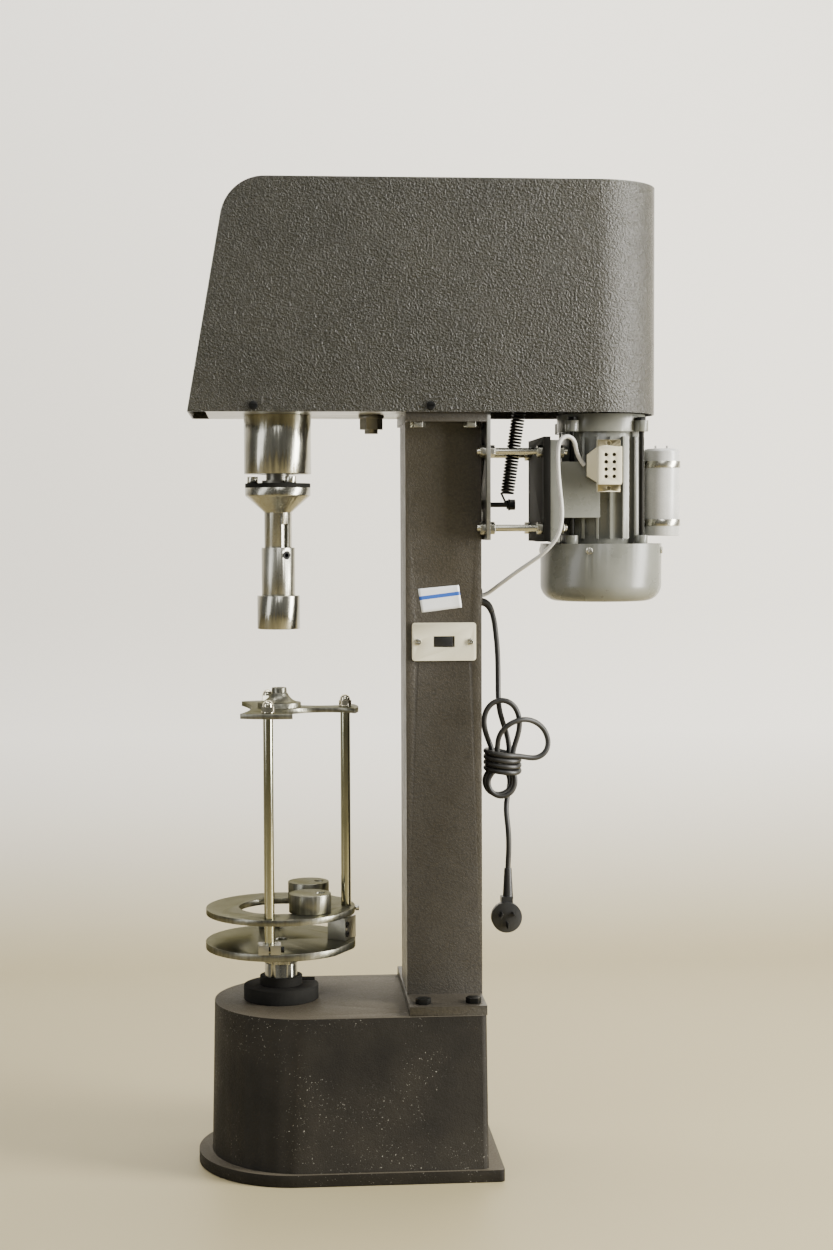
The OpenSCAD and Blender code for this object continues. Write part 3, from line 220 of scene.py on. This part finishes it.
class Surface:
    """A procedural material: object-space textures drive colour, roughness and bump."""

    def __init__(self, name, metallic=0.0, **fixed):
        self.material = bpy.data.materials.new(name)
        self.material.use_nodes = True
        self.tree = self.material.node_tree
        self.shader = next(n for n in self.tree.nodes if n.type == "BSDF_PRINCIPLED")
        self.shader.inputs["Metallic"].default_value = metallic
        for socket, value in fixed.items():
            self.shader.inputs[socket.replace("_", " ")].default_value = value
        self.place = self.tree.nodes.new("ShaderNodeTexCoord").outputs["Object"]

    def node(self, kind, links=None, **values):
        node = self.tree.nodes.new(kind)
        for key, value in values.items():
            if hasattr(node, key):
                setattr(node, key, value)
            else:
                node.inputs[key.replace("_", " ")].default_value = value
        for socket, source in (links or {}).items():
            self.tree.links.new(source, node.inputs[socket])
        return node

    def noise(self, scale, detail=4.0, stretch=(1, 1, 1), rough=0.55):
        place = self.node("ShaderNodeMapping", {"Vector": self.place}, Scale=stretch).outputs["Vector"]
        return self.node("ShaderNodeTexNoise", {"Vector": place}, Scale=scale,
                         Detail=detail, Roughness=rough).outputs["Fac"]

    def cells(self, scale):
        warp = self.node("ShaderNodeTexNoise", {"Vector": self.place}, Scale=scale * 0.6, Detail=2.0)
        shift = self.node("ShaderNodeVectorMath", {0: warp.outputs["Color"]}, operation="SCALE")
        shift.inputs["Scale"].default_value = 1.2 / scale
        moved = self.node("ShaderNodeVectorMath", {0: self.place, 1: shift.outputs[0]}, operation="ADD")
        return self.node("ShaderNodeTexVoronoi", {"Vector": moved.outputs[0]}, feature="SMOOTH_F1",
                         Scale=scale, Smoothness=1.0).outputs["Distance"]

    def lathe_marks(self, scale):
        return self.node("ShaderNodeTexWave", {"Vector": self.place}, wave_type="RINGS",
                         rings_direction="Z", Scale=scale, Distortion=3.0, Detail=2.0,
                         Detail_Scale=4.0).outputs["Fac"]

    def height(self, vector):
        return self.node("ShaderNodeSeparateXYZ", {"Vector": vector}).outputs["Z"]

    def facing_up(self):
        """1 where the surface looks straight up, 0 where it is upright."""
        return self.height(self.node("ShaderNodeTexCoord").outputs["Normal"])

    def level(self, source, low, high, out_low=0.0, out_high=1.0):
        return self.node("ShaderNodeMapRange", {"Value": source}, From_Min=low, From_Max=high,
                         To_Min=out_low, To_Max=out_high).outputs["Result"]

    def blend(self, factor, first, second):
        mix = self.node("ShaderNodeMix", {"Factor": factor}, data_type="RGBA")
        sockets = [s for s in mix.inputs if s.type == "RGBA"]
        for socket, value in zip(sockets, (first, second)):
            if isinstance(value, (tuple, list)):
                socket.default_value = (*value, 1)
            else:
                self.tree.links.new(value, socket)
        return next(s for s in mix.outputs if s.type == "RGBA")

    def sum(self, first, second, operation="ADD"):
        math_node = self.node("ShaderNodeMath", {0: first}, operation=operation)
        if isinstance(second, (int, float)):
            math_node.inputs[1].default_value = second
        else:
            self.tree.links.new(second, math_node.inputs[1])
        return math_node.outputs[0]

    def finish(self, colour, roughness, height, depth):
        """depth is the bump height in millimetres."""
        self.tree.links.new(colour, self.shader.inputs["Base Color"])
        self.tree.links.new(roughness, self.shader.inputs["Roughness"])
        bump = self.node("ShaderNodeBump", {"Height": height}, Distance=depth * MM, Strength=1.0)
        self.tree.links.new(bump.outputs["Normal"], self.shader.inputs["Normal"])
        return self.material


def hammered_paint(name, dark, light, cell, depth, rough=(0.25, 0.36), shine=0.5):
    s = Surface(name, IOR=1.5, Specular_IOR_Level=shine)
    pits = s.cells(cell)
    soil = s.noise(9, detail=5)
    colour = s.blend(s.level(soil, 0.35, 0.7), dark, light)
    # painted shade: the colour darkens with the same cells that raise the hammered relief, most towards the
    # cell edges
    colour = s.blend(s.level(pits, 0.15, 0.75, 0.0, 0.6), colour, [c * 0.4 for c in dark])
    rough = s.level(s.noise(40), 0.3, 0.7, *rough)
    return s.finish(colour, rough, s.sum(pits, s.noise(cell * 2.2, detail=2)), depth)


def cast_paint(name, dark, light, chip):
    """Dull paint on a rough casting, chipped in patches, with painted light on the faces that look up."""
    s = Surface(name, IOR=1.45, Specular_IOR_Level=0.2)
    grain = s.noise(420, detail=6, rough=0.7)
    lumps = s.noise(60, detail=3)
    chips = s.level(s.noise(430, detail=3, rough=0.75), 0.66, 0.70)
    patches = s.level(s.noise(11, detail=5), 0.47, 0.62)
    colour = s.blend(s.level(s.noise(12, detail=5), 0.35, 0.68), dark, light)
    colour = s.blend(s.sum(chips, patches, "MULTIPLY"), colour, chip)
    # painted light: the faces that look up get a much lighter colour, as if lit from above
    lighter_tone = [c * 3.2 for c in light]
    colour = s.blend(s.level(s.facing_up(), 0.7, 0.95), colour, lighter_tone)
    rough = s.level(grain, 0.3, 0.7, 0.5, 0.72)
    return s.finish(colour, rough, s.sum(grain, lumps), 0.55)


def smooth_paint(name, dark, light, rough=(0.32, 0.45), depth=0.04, shine=0.5):
    s = Surface(name, IOR=1.5, Specular_IOR_Level=shine)
    peel = s.noise(260, detail=2)
    soil = s.noise(16, detail=6, rough=0.6)
    colour = s.blend(s.level(soil, 0.35, 0.7), dark, light)
    return s.finish(colour, s.level(soil, 0.3, 0.7, *rough), peel, depth)


def turned_steel(name, dark, light, rough=(0.16, 0.3), rings=260, depth=0.012, edge=(1, 1, 1)):
    """Ring marks on the faces and painted dark reflection streaks running upright round the rims; edge tints
    grazing light.
    """
    s = Surface(name, metallic=1.0, Specular_Tint=(*edge, 1))
    marks = s.lathe_marks(rings)
    stain = s.noise(22, detail=5)
    colour = s.blend(s.level(stain, 0.3, 0.7), dark, light)
    rim = s.level(s.sum(s.facing_up(), 2, "POWER"), 0.1, 0.5, 1.0, 0.0)
    # painted reflection: dark upright streaks on the upright sides stand for the bands a turned cylinder
    # reflects
    painted_reflection_streaks = s.level(s.noise(170, detail=3, stretch=(1, 1, 0.02)), 0.35, 0.65)
    shade = s.sum(rim, s.sum(painted_reflection_streaks, 0.55, "MULTIPLY"), "MULTIPLY")
    colour = s.blend(shade, colour, [c * 0.45 for c in dark])
    return s.finish(colour, s.level(s.sum(marks, stain), 0.3, 1.6, *rough), marks, depth)


def milled_steel(name, dark, light, rough=(0.25, 0.42), stretch=(1, 30, 30), depth=0.015):
    s = Surface(name, metallic=1.0)
    brush = s.noise(60, detail=6, stretch=stretch, rough=0.7)
    stain = s.noise(18, detail=5)
    colour = s.blend(s.level(stain, 0.3, 0.7), dark, light)
    return s.finish(colour, s.level(brush, 0.3, 0.7, *rough), brush, depth)


def plastic(name, dark, light, rough=(0.25, 0.4), depth=0.02, **fixed):
    s = Surface(name, **fixed)
    grain = s.noise(700, detail=3)
    tint = s.noise(25, detail=4)
    colour = s.blend(s.level(tint, 0.3, 0.7), dark, light)
    return s.finish(colour, s.level(grain, 0.3, 0.7, *rough), grain, depth)


def cord_rubber(name, dark, light):
    s = Surface(name)
    grain = s.noise(500, detail=3)
    lighter_tone = s.noise(40, detail=5)
    colour = s.blend(s.level(lighter_tone, 0.4, 0.75), dark, light)
    return s.finish(colour, s.level(lighter_tone, 0.3, 0.7, 0.4, 0.55), grain, 0.03)


def printed_label(name, paper, band, z_low, z_high, tilt):
    """White paper with one plain coloured band, following the label's tilt."""
    s = Surface(name)
    turned = s.node("ShaderNodeMapping", {"Vector": s.place}, Rotation=(0, tilt, 0)).outputs["Vector"]
    height = s.height(turned)
    inside = s.sum(s.sum(height, z_low, "GREATER_THAN"), s.sum(height, z_high, "LESS_THAN"), "MULTIPLY")
    fibre = s.noise(800, detail=3)
    white = s.blend(fibre, [c * 0.93 for c in paper], paper)
    colour = s.blend(inside, white, band)
    return s.finish(colour, s.level(fibre, 0.3, 0.7, 0.3, 0.45), fibre, 0.01)


PAINT_COVER = hammered_paint("hammered_paint", (0.026, 0.024, 0.016), (0.037, 0.034, 0.023), 400, 0.8,
                             (0.2, 0.3), 0.45)
PAINT_COLUMN = hammered_paint("column_paint", (0.033, 0.028, 0.019), (0.046, 0.039, 0.028), 430, 0.3,
                              (0.38, 0.5))
PAINT_BASE = cast_paint("cast_base_paint", (0.010, 0.0085, 0.006), (0.020, 0.017, 0.012),
                        (0.42, 0.40, 0.34))
PAINT_BLACK = smooth_paint("black_paint", (0.010, 0.010, 0.009), (0.020, 0.019, 0.017), (0.7, 0.85),
                           shine=0.06)
PAINT_MOTOR = smooth_paint("motor_paint", (0.130, 0.132, 0.112), (0.175, 0.177, 0.152), (0.24, 0.34))
STEEL_BLACK = milled_steel("black_steel", (0.012, 0.012, 0.012), (0.030, 0.030, 0.028), (0.4, 0.55))
STEEL_DARK = milled_steel("dark_milled_steel", (0.10, 0.10, 0.085), (0.22, 0.21, 0.18), (0.3, 0.5))
STEEL_PLATE = milled_steel("milled_steel", (0.27, 0.265, 0.23), (0.42, 0.41, 0.36))
STEEL_ZINC = milled_steel("zinc_steel", (0.42, 0.41, 0.34), (0.60, 0.58, 0.50), (0.2, 0.34), (1, 1, 1))
STEEL_TURNED = turned_steel("turned_steel", (0.33, 0.32, 0.265), (0.48, 0.47, 0.405))
STEEL_DISC = turned_steel("rack_steel", (0.16, 0.157, 0.125), (0.26, 0.255, 0.21), (0.26, 0.4), rings=200,
                          edge=(0.33, 0.325, 0.27))
STEEL_ROD = milled_steel("rod_chrome", (0.34, 0.34, 0.25), (0.47, 0.46, 0.36), (0.08, 0.15),
                         (30, 30, 1), 0.004)
CHROME = turned_steel("chrome", (0.62, 0.58, 0.44), (0.78, 0.73, 0.58), (0.05, 0.1), depth=0.003)
CAST_METAL = milled_steel("cast_aluminium", (0.42, 0.42, 0.42), (0.6, 0.6, 0.6), (0.35, 0.5), (1, 1, 1))
CREAM = plastic("cream_plastic", (0.58, 0.54, 0.40), (0.66, 0.62, 0.47), (0.25, 0.38))
WHITE_CASE = plastic("capacitor_case", (0.40, 0.40, 0.38), (0.50, 0.50, 0.48), (0.22, 0.32),
                     Subsurface_Weight=0.15, Subsurface_Radius=(0.01, 0.01, 0.01))
BLACK_PLASTIC = plastic("black_plastic", (0.006, 0.006, 0.006), (0.014, 0.014, 0.013), (0.35, 0.5))
RUBBER = cord_rubber("black_rubber", (0.007, 0.007, 0.007), (0.024, 0.023, 0.020))
SHEATH = plastic("lead_sheath", (0.44, 0.43, 0.40), (0.55, 0.54, 0.50), (0.35, 0.5))
BRASS = milled_steel("terminal_brass", (0.20, 0.17, 0.10), (0.32, 0.28, 0.17), (0.3, 0.45), (1, 1, 1))

FINISHES = [
    (PAINT_COVER, "cover"),
    (PAINT_COLUMN, "column feed_lever lever_bracket"),
    (PAINT_BASE, "base_casting"),
    (PAINT_BLACK, "base_plate motor_plate drive_disc post_flange lock_ring"),
    (STEEL_BLACK, "spring_bolt return_spring frame_bolts panel_screws clamp_screws guide_screw "
                  "motor_bolts"),
    (STEEL_ZINC, "disc_screws lever_pin motor_studs ring_screws"),
    (STEEL_PLATE, "head_plate motor_stator rod_clamps motor_bracket"),
    (STEEL_TURNED, "ball_bearings rack_post motor_rotor thrust_collar bearing_housing spindle_cone "
                   "chuck_sleeve chuck_cup"),
    (STEEL_DARK, "idler_axle spindle_shaft"),
    (STEEL_DISC, "rack_disc top_spider stop_ring stop_near stop_far"),
    (STEEL_ROD, "rack_rods"),
    (CHROME, "dome_nuts"),
    (PAINT_MOTOR, "motor_housing end_shield fan_cowl"),
    (CAST_METAL, "idler_pulley spindle_pulley motor_pulley"),
    (WHITE_CASE, "capacitor"),
    (CREAM, "switch_plate terminal_block"),
    (BLACK_PLASTIC, "motor_fan rocker power_plug cord_glands"),
    (RUBBER, "chuck_liner drive_belts power_cord cord_hank"),
    (SHEATH, "motor_lead"),
]

for material, nodes in FINISHES:
    for node in nodes.split():
        NODES[node].data.materials.clear()
        NODES[node].data.materials.append(material)


# ---------------------------------------------------------------- softened edges


def body_of(node):
    return NODES[node]["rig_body"]


def soften(node, width):
    """A copy of a CAD node with small rounded edges, width millimetres wide, standing for it."""
    piece = bpy.data.objects.new(node + "_soft", NODES[node].data.copy())
    bpy.context.scene.collection.objects.link(piece)
    mesh = bmesh.new()
    mesh.from_mesh(piece.data)
    bmesh.ops.remove_doubles(mesh, verts=mesh.verts, dist=1e-6)
    bmesh.ops.dissolve_limit(mesh, angle_limit=math.radians(0.5), verts=mesh.verts, edges=mesh.edges)
    for face in mesh.faces:
        face.smooth = True
    mesh.to_mesh(piece.data)
    mesh.free()
    bevel = piece.modifiers.new("edges", "BEVEL")
    bevel.width = width * MM
    bevel.segments = 2
    bevel.limit_method = "ANGLE"
    bevel.angle_limit = math.radians(32)
    bevel.harden_normals = True
    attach(piece, body_of(node))
    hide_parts(node)
    return piece


def paint_faces(piece, material, inside):
    """Gives the faces whose centre passes the test another material."""
    piece.data.materials.append(material)
    index = len(piece.data.materials) - 1
    for polygon in piece.data.polygons:
        if inside(polygon.center):
            polygon.material_index = index


EDGE_WIDTHS = {
    3.0: ["base_casting"],
    1.2: ["column", "power_plug"],
    0.8: ["bearing_housing", "motor_housing", "end_shield", "post_flange", "stop_near", "stop_far",
          "chuck_cup", "feed_lever", "lever_bracket", "switch_plate", "fan_cowl", "capacitor"],
    0.5: ["head_plate", "motor_bracket", "motor_plate", "idler_axle", "frame_bolts", "lock_ring",
          "rack_post", "rack_disc", "stop_ring", "top_spider", "rod_clamps", "chuck_sleeve",
          "spindle_cone", "spring_bolt", "thrust_collar", "terminal_block", "cord_glands"],
    0.3: ["motor_studs", "drive_disc", "disc_screws", "clamp_screws", "ring_screws", "dome_nuts",
          "rocker", "panel_screws", "motor_bolts", "chuck_liner"],
}
SOFT = {name: soften(name, edge) for edge, names in EDGE_WIDTHS.items() for name in names}

MOTOR_X = 389.5 * MM
CLIP_REACH = 4 * MM             # of the capacitor's clips, before its case
LUG_RISE = 10.5 * MM            # of the cast lugs round the tie bolts, above the housing's foot
LUG_R, LUG_REACH = 54 * MM, 52 * MM
COWL_SCREW_R = 66 * MM
HEAD_BOLTS = 60 * MM            # the frame bolts of the head stand this near the highest one's top
TERMINAL_BASE = 11.9 * MM
TERMINAL_FRONT, TERMINAL_DEEP = 2 * MM, 14 * MM
TERMINAL_HALF = 27 * MM
HOLE_R = 2.6 * MM
HOLES = [(-3, 26.25), (-3, -26.25)] + [(x, 8.5 * n) for x in (-7.8, 1.8) for n in (-1.5, -0.5, 0.5, 1.5)]


def off_motor_axis(place):
    return math.hypot(place.x - MOTOR_X, place.y)


def paint_details():
    """Screws, clips, lugs and terminals that share a CAD node with something of another material."""
    plate_low, plate_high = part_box("switch_plate")
    paint_faces(SOFT["panel_screws"], STEEL_ZINC, lambda c: plate_low.z < c.z < plate_high.z)
    bolts = SOFT["motor_bolts"]
    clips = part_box("capacitor")[0].x - CLIP_REACH
    paint_faces(bolts, STEEL_ZINC, lambda c: c.x > clips)
    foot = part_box("motor_housing")[0].z
    paint_faces(bolts, PAINT_MOTOR,
                lambda c: foot - 0.5 * MM < c.z < foot + LUG_RISE
                and off_motor_axis(c) > LUG_R and c.x < MOTOR_X + LUG_REACH)
    cowl_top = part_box("fan_cowl")[1].z
    paint_faces(bolts, STEEL_ZINC, lambda c: c.z < cowl_top - 1 * MM and off_motor_axis(c) > COWL_SCREW_R)
    bolt_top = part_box("frame_bolts")[1].z
    paint_faces(SOFT["frame_bolts"], STEEL_ZINC, lambda c: c.z > bolt_top - HEAD_BOLTS)
    block = SOFT["terminal_block"]
    low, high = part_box("terminal_block")
    middle = (low.z + high.z) / 2
    paint_faces(block, PAINT_MOTOR, lambda c: c.y > high.y - TERMINAL_BASE)
    paint_faces(block, BRASS,
                lambda c: TERMINAL_FRONT < c.y - low.y < TERMINAL_DEEP and abs(c.z - middle) < TERMINAL_HALF
                and any(math.hypot(c.x - MOTOR_X - x * MM, c.z - middle - z * MM) < HOLE_R
                        for x, z in HOLES))


paint_details()


# ---------------------------------------------------------------- pieces finer than the CAD

def mesh_piece(name, verts, faces, material, body):
    """A piece of its own mesh, attached to the given body when there is one."""
    mesh = bpy.data.meshes.new(name)
    mesh.from_pydata([tuple(v) for v in verts], [], faces)
    mesh.validate()
    for polygon in mesh.polygons:
        polygon.use_smooth = True
    mesh.materials.append(material)
    piece = bpy.data.objects.new(name, mesh)
    bpy.context.scene.collection.objects.link(piece)
    if body:
        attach(piece, body)
    return piece


def tube(points, radius, sides=8):
    """Vertices and faces of a round wire through the points, in metres; radius may be one per point."""
    radii = radius if isinstance(radius, (list, tuple)) else [radius] * len(points)
    verts, faces = [], []
    side = None
    last = len(points) - 1
    for k, place in enumerate(points):
        ahead = (points[min(k + 1, last)] - points[max(k - 1, 0)]).normalized()
        if side is None:
            side = ahead.orthogonal()
        side = (side - ahead * side.dot(ahead)).normalized()
        across = ahead.cross(side)
        for n in range(sides):
            turn = 2 * math.pi * n / sides
            verts.append(place + radii[k] * (side * math.cos(turn) + across * math.sin(turn)))
    for k in range(last):
        for n in range(sides):
            m = (n + 1) % sides
            faces.append((k * sides + n, k * sides + m, (k + 1) * sides + m, (k + 1) * sides + n))
    faces.append(tuple(range(sides - 1, -1, -1)))
    faces.append(tuple(last * sides + n for n in range(sides)))
    return verts, faces


SPRING_WIRE = 2.6
SPRING_D = 17
SPRING_TURNS, SPRING_STEPS = 60, 14      # points for each turn
SPRING_FOOT_X, SPRING_HEAD_X = 275.5, 308.5
BOLT_R, PIN_R = 3, 2.5
HOOK_GAP, HOOK_SWEEP = 0.3, 250
FOOT_SHANK, HEAD_SHANK = 13, 14          # from the hooks' middles to the coil's ends
HEAD_DROP = 5.6                          # the upper hook's middle, below the spring's top
UP = Vector((0, 0, 1))


def hook(middle, pin_radius, start, across):
    """Points of most of a turn of wire round a pin, in the plane of across and up."""
    loop = (pin_radius + SPRING_WIRE / 2 + HOOK_GAP) * MM
    for k in range(SPRING_STEPS + 1):
        turn = math.radians(start - HOOK_SWEEP * k / SPRING_STEPS)
        yield middle + loop * (across * math.cos(turn) + UP * math.sin(turn))


def add_spring():
    bolt_low, bolt_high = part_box("spring_bolt")
    spring_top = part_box("return_spring")[1].z
    foot = Vector((SPRING_FOOT_X * MM, 0, (bolt_low.z + bolt_high.z) / 2))
    head = Vector((SPRING_HEAD_X * MM, 0, spring_top - HEAD_DROP * MM))
    start = foot + mm(0, 0, FOOT_SHANK)
    end = head - mm(0, 0, HEAD_SHANK)
    axis = (end - start).normalized()
    out, side = Vector((axis.z, 0, -axis.x)), Vector((0, 1, 0))
    radius = (SPRING_D - SPRING_WIRE) / 2 * MM
    points = list(hook(foot, BOLT_R, 250, side))
    for k in range(SPRING_TURNS * SPRING_STEPS + 1):
        s = k / (SPRING_TURNS * SPRING_STEPS)
        turn = math.pi + 2 * math.pi * SPRING_TURNS * s
        points.append(start + (end - start) * s + radius * (out * math.cos(turn) + side * math.sin(turn)))
    points += hook(head, PIN_R, 180, Vector((1, 0, 0)))
    verts, faces = tube(points, SPRING_WIRE / 2 * MM)
    spring = mesh_piece("spring_coil", verts, faces, STEEL_BLACK, None)
    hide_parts("return_spring")
    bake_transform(spring)


LABEL_CORNERS = [(168.4, 660.5), (215.9, 666.4), (212.3, 692.9), (163.8, 688.6)]
LABEL_Y = -45.35                         # just off the column's face
LABEL_T = 0.3
LABEL_BAND = (1.0, 5.5)                  # above the label's middle line
LABEL_COLS, LABEL_ROWS = 16, 8
CURL, CURL_FROM = 9.6, 0.8


def add_label():
    """A plain paper label on the column, slightly lifted at its right edge."""
    corners = [mm(x, 0, z) for x, z in LABEL_CORNERS]
    verts = []
    for r in range(LABEL_ROWS + 1):
        for c in range(LABEL_COLS + 1):
            u, v = c / LABEL_COLS, r / LABEL_ROWS
            place = corners[0].lerp(corners[1], u).lerp(corners[3].lerp(corners[2], u), v)
            place.y = (LABEL_Y - CURL * max(0.0, u - CURL_FROM) ** 1.5) * MM
            verts.append(place)
    w = LABEL_COLS + 1
    faces = [(r * w + c, r * w + c + 1, (r + 1) * w + c + 1, (r + 1) * w + c)
             for r in range(LABEL_ROWS) for c in range(LABEL_COLS)]
    tilt = math.atan2(corners[1].z - corners[0].z, corners[1].x - corners[0].x)
    centre = sum(corners, Vector()) / 4
    height = centre.z * math.cos(tilt) - centre.x * math.sin(tilt)
    band_low, band_high = (height + b * MM for b in LABEL_BAND)
    paper = printed_label("label_paper", (0.80, 0.81, 0.80), (0.03, 0.10, 0.42), band_low, band_high, tilt)
    label = mesh_piece("paper_label", verts, faces, paper, "root")
    thick = label.modifiers.new("thickness", "SOLIDIFY")
    thick.thickness = LABEL_T * MM


SLEEVE_WIDE, SLEEVE_NARROW = 5.2, 3.5    # radii
SLEEVE_POINTS = 9


def relief_sleeve(points):
    """The tapered rubber sleeve round the first stretch of the power cord."""
    path = cord_path(points)[:SLEEVE_POINTS]
    taper = (SLEEVE_WIDE - SLEEVE_NARROW) / (SLEEVE_POINTS - 1)
    radii = [(SLEEVE_WIDE - taper * k) * MM for k in range(SLEEVE_POINTS)]
    verts, faces = tube(path, radii, 20)
    return mesh_piece("cord_relief", verts, faces, RUBBER, "root")


def add_cords():
    points = ([CORD_EXIT] + CORD_FALL + CORD_LOW_BACK + CORD_TOP_LOOP + CORD_LOW_FRONT
              + CORD_RIGHT_LOOP + list(wrap_points()) + CORD_DROP)
    cord, length = cord_curve("power_flex", points, CORD_D)
    cord.data.materials.append(RUBBER)
    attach(cord, "root")
    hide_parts("power_cord", "cord_hank")
    relief_sleeve(points)
    lead, length = cord_curve("motor_flex", [LEAD_EXIT] + LEAD_ROUTE, LEAD_D)
    lead.data.materials.append(SHEATH)
    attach(lead, "root")
    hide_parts("motor_lead")


# ---------------------------------------------------------------- floor, light

FLOOR_HALF = 6.0
WALL_FOOT, WALL_BEND, WALL_TOP = 1.0, 0.6, 5.0
FLOOR_DROP = 0.5 * MM


def add_floor():
    """One sheet: a floor that bends up into a wall behind the machine."""
    profile = [(-FLOOR_HALF, 0.0), (WALL_FOOT, 0.0)]
    profile += [(WALL_FOOT + WALL_BEND * math.sin(t), WALL_BEND * (1 - math.cos(t)))
                for t in [math.radians(9 * k) for k in range(1, 11)]]
    profile.append((WALL_FOOT + WALL_BEND, WALL_TOP))
    verts = [(x, y, z - FLOOR_DROP) for y, z in profile for x in (-FLOOR_HALF, FLOOR_HALF)]
    faces = [(2 * k, 2 * k + 1, 2 * k + 3, 2 * k + 2) for k in range(len(profile) - 1)]
    mesh = bpy.data.meshes.new("studio_floor")
    mesh.from_pydata(verts, [], faces)
    for polygon in mesh.polygons:
        polygon.use_smooth = True
    s = Surface("studio_floor")
    cloud = s.noise(1.5, detail=3)
    wall = s.blend(cloud, (0.78, 0.75, 0.69), (0.83, 0.80, 0.74))
    ground = s.blend(cloud, (0.31, 0.26, 0.14), (0.36, 0.31, 0.18))
    colour = s.blend(s.level(s.height(s.place), 0.0, 0.35), ground, wall)
    mesh.materials.append(s.finish(colour, s.level(cloud, 0.3, 0.7, 0.45, 0.55), cloud, 0.2))
    # The sheet is clear from behind, so that the other sides can be looked at.
    facing_away = s.node("ShaderNodeNewGeometry").outputs["Backfacing"]
    clear = s.node("ShaderNodeBsdfTransparent").outputs[0]
    mixed = s.node("ShaderNodeMixShader", {0: facing_away, 1: s.shader.outputs[0], 2: clear})
    output = next(n for n in s.tree.nodes if n.type == "OUTPUT_MATERIAL")
    s.tree.links.new(mixed.outputs[0], output.inputs["Surface"])
    floor = bpy.data.objects.new("studio_floor", mesh)
    bpy.context.scene.collection.objects.link(floor)


def area_light(name, place, target, size, power, colour=(1, 1, 1)):
    data = bpy.data.lights.new(name, "AREA")
    data.shape = "RECTANGLE"
    data.size, data.size_y = size
    data.energy = power
    data.color = colour
    light = bpy.data.objects.new(name, data)
    light.location = place
    light.rotation_euler = (Vector(target) - Vector(place)).to_track_quat("-Z", "Y").to_euler()
    bpy.context.scene.collection.objects.link(light)


def add_light():
    middle = (0.15, 0, 0.65)
    area_light("window_right", (2.25, -0.85, 1.25), middle, (0.8, 2.3), 215, (1.0, 0.98, 0.93))
    area_light("fill_left", (-2.2, -1.3, 1.2), middle, (1.0, 2.0), 26, (0.97, 0.98, 1.0))
    area_light("front_soft", (-0.3, -3.4, 2.6), middle, (1.8, 1.2), 32)
    area_light("top_soft", (0.1, -0.3, 3.0), middle, (1.6, 1.6), 38)
    area_light("backdrop_wash", (0.1, 0.35, 3.3), (0.1, 1.6, 1.0), (3.0, 0.6), 75, (1.0, 0.98, 0.95))
    world = bpy.data.worlds.new("studio_air")
    world.use_nodes = True
    background = world.node_tree.nodes["Background"]
    background.inputs["Color"].default_value = (0.80, 0.79, 0.74, 1)
    background.inputs["Strength"].default_value = 0.28
    bpy.context.scene.world = world


add_camera()
add_cords()
add_spring()
add_label()
add_floor()
add_light()
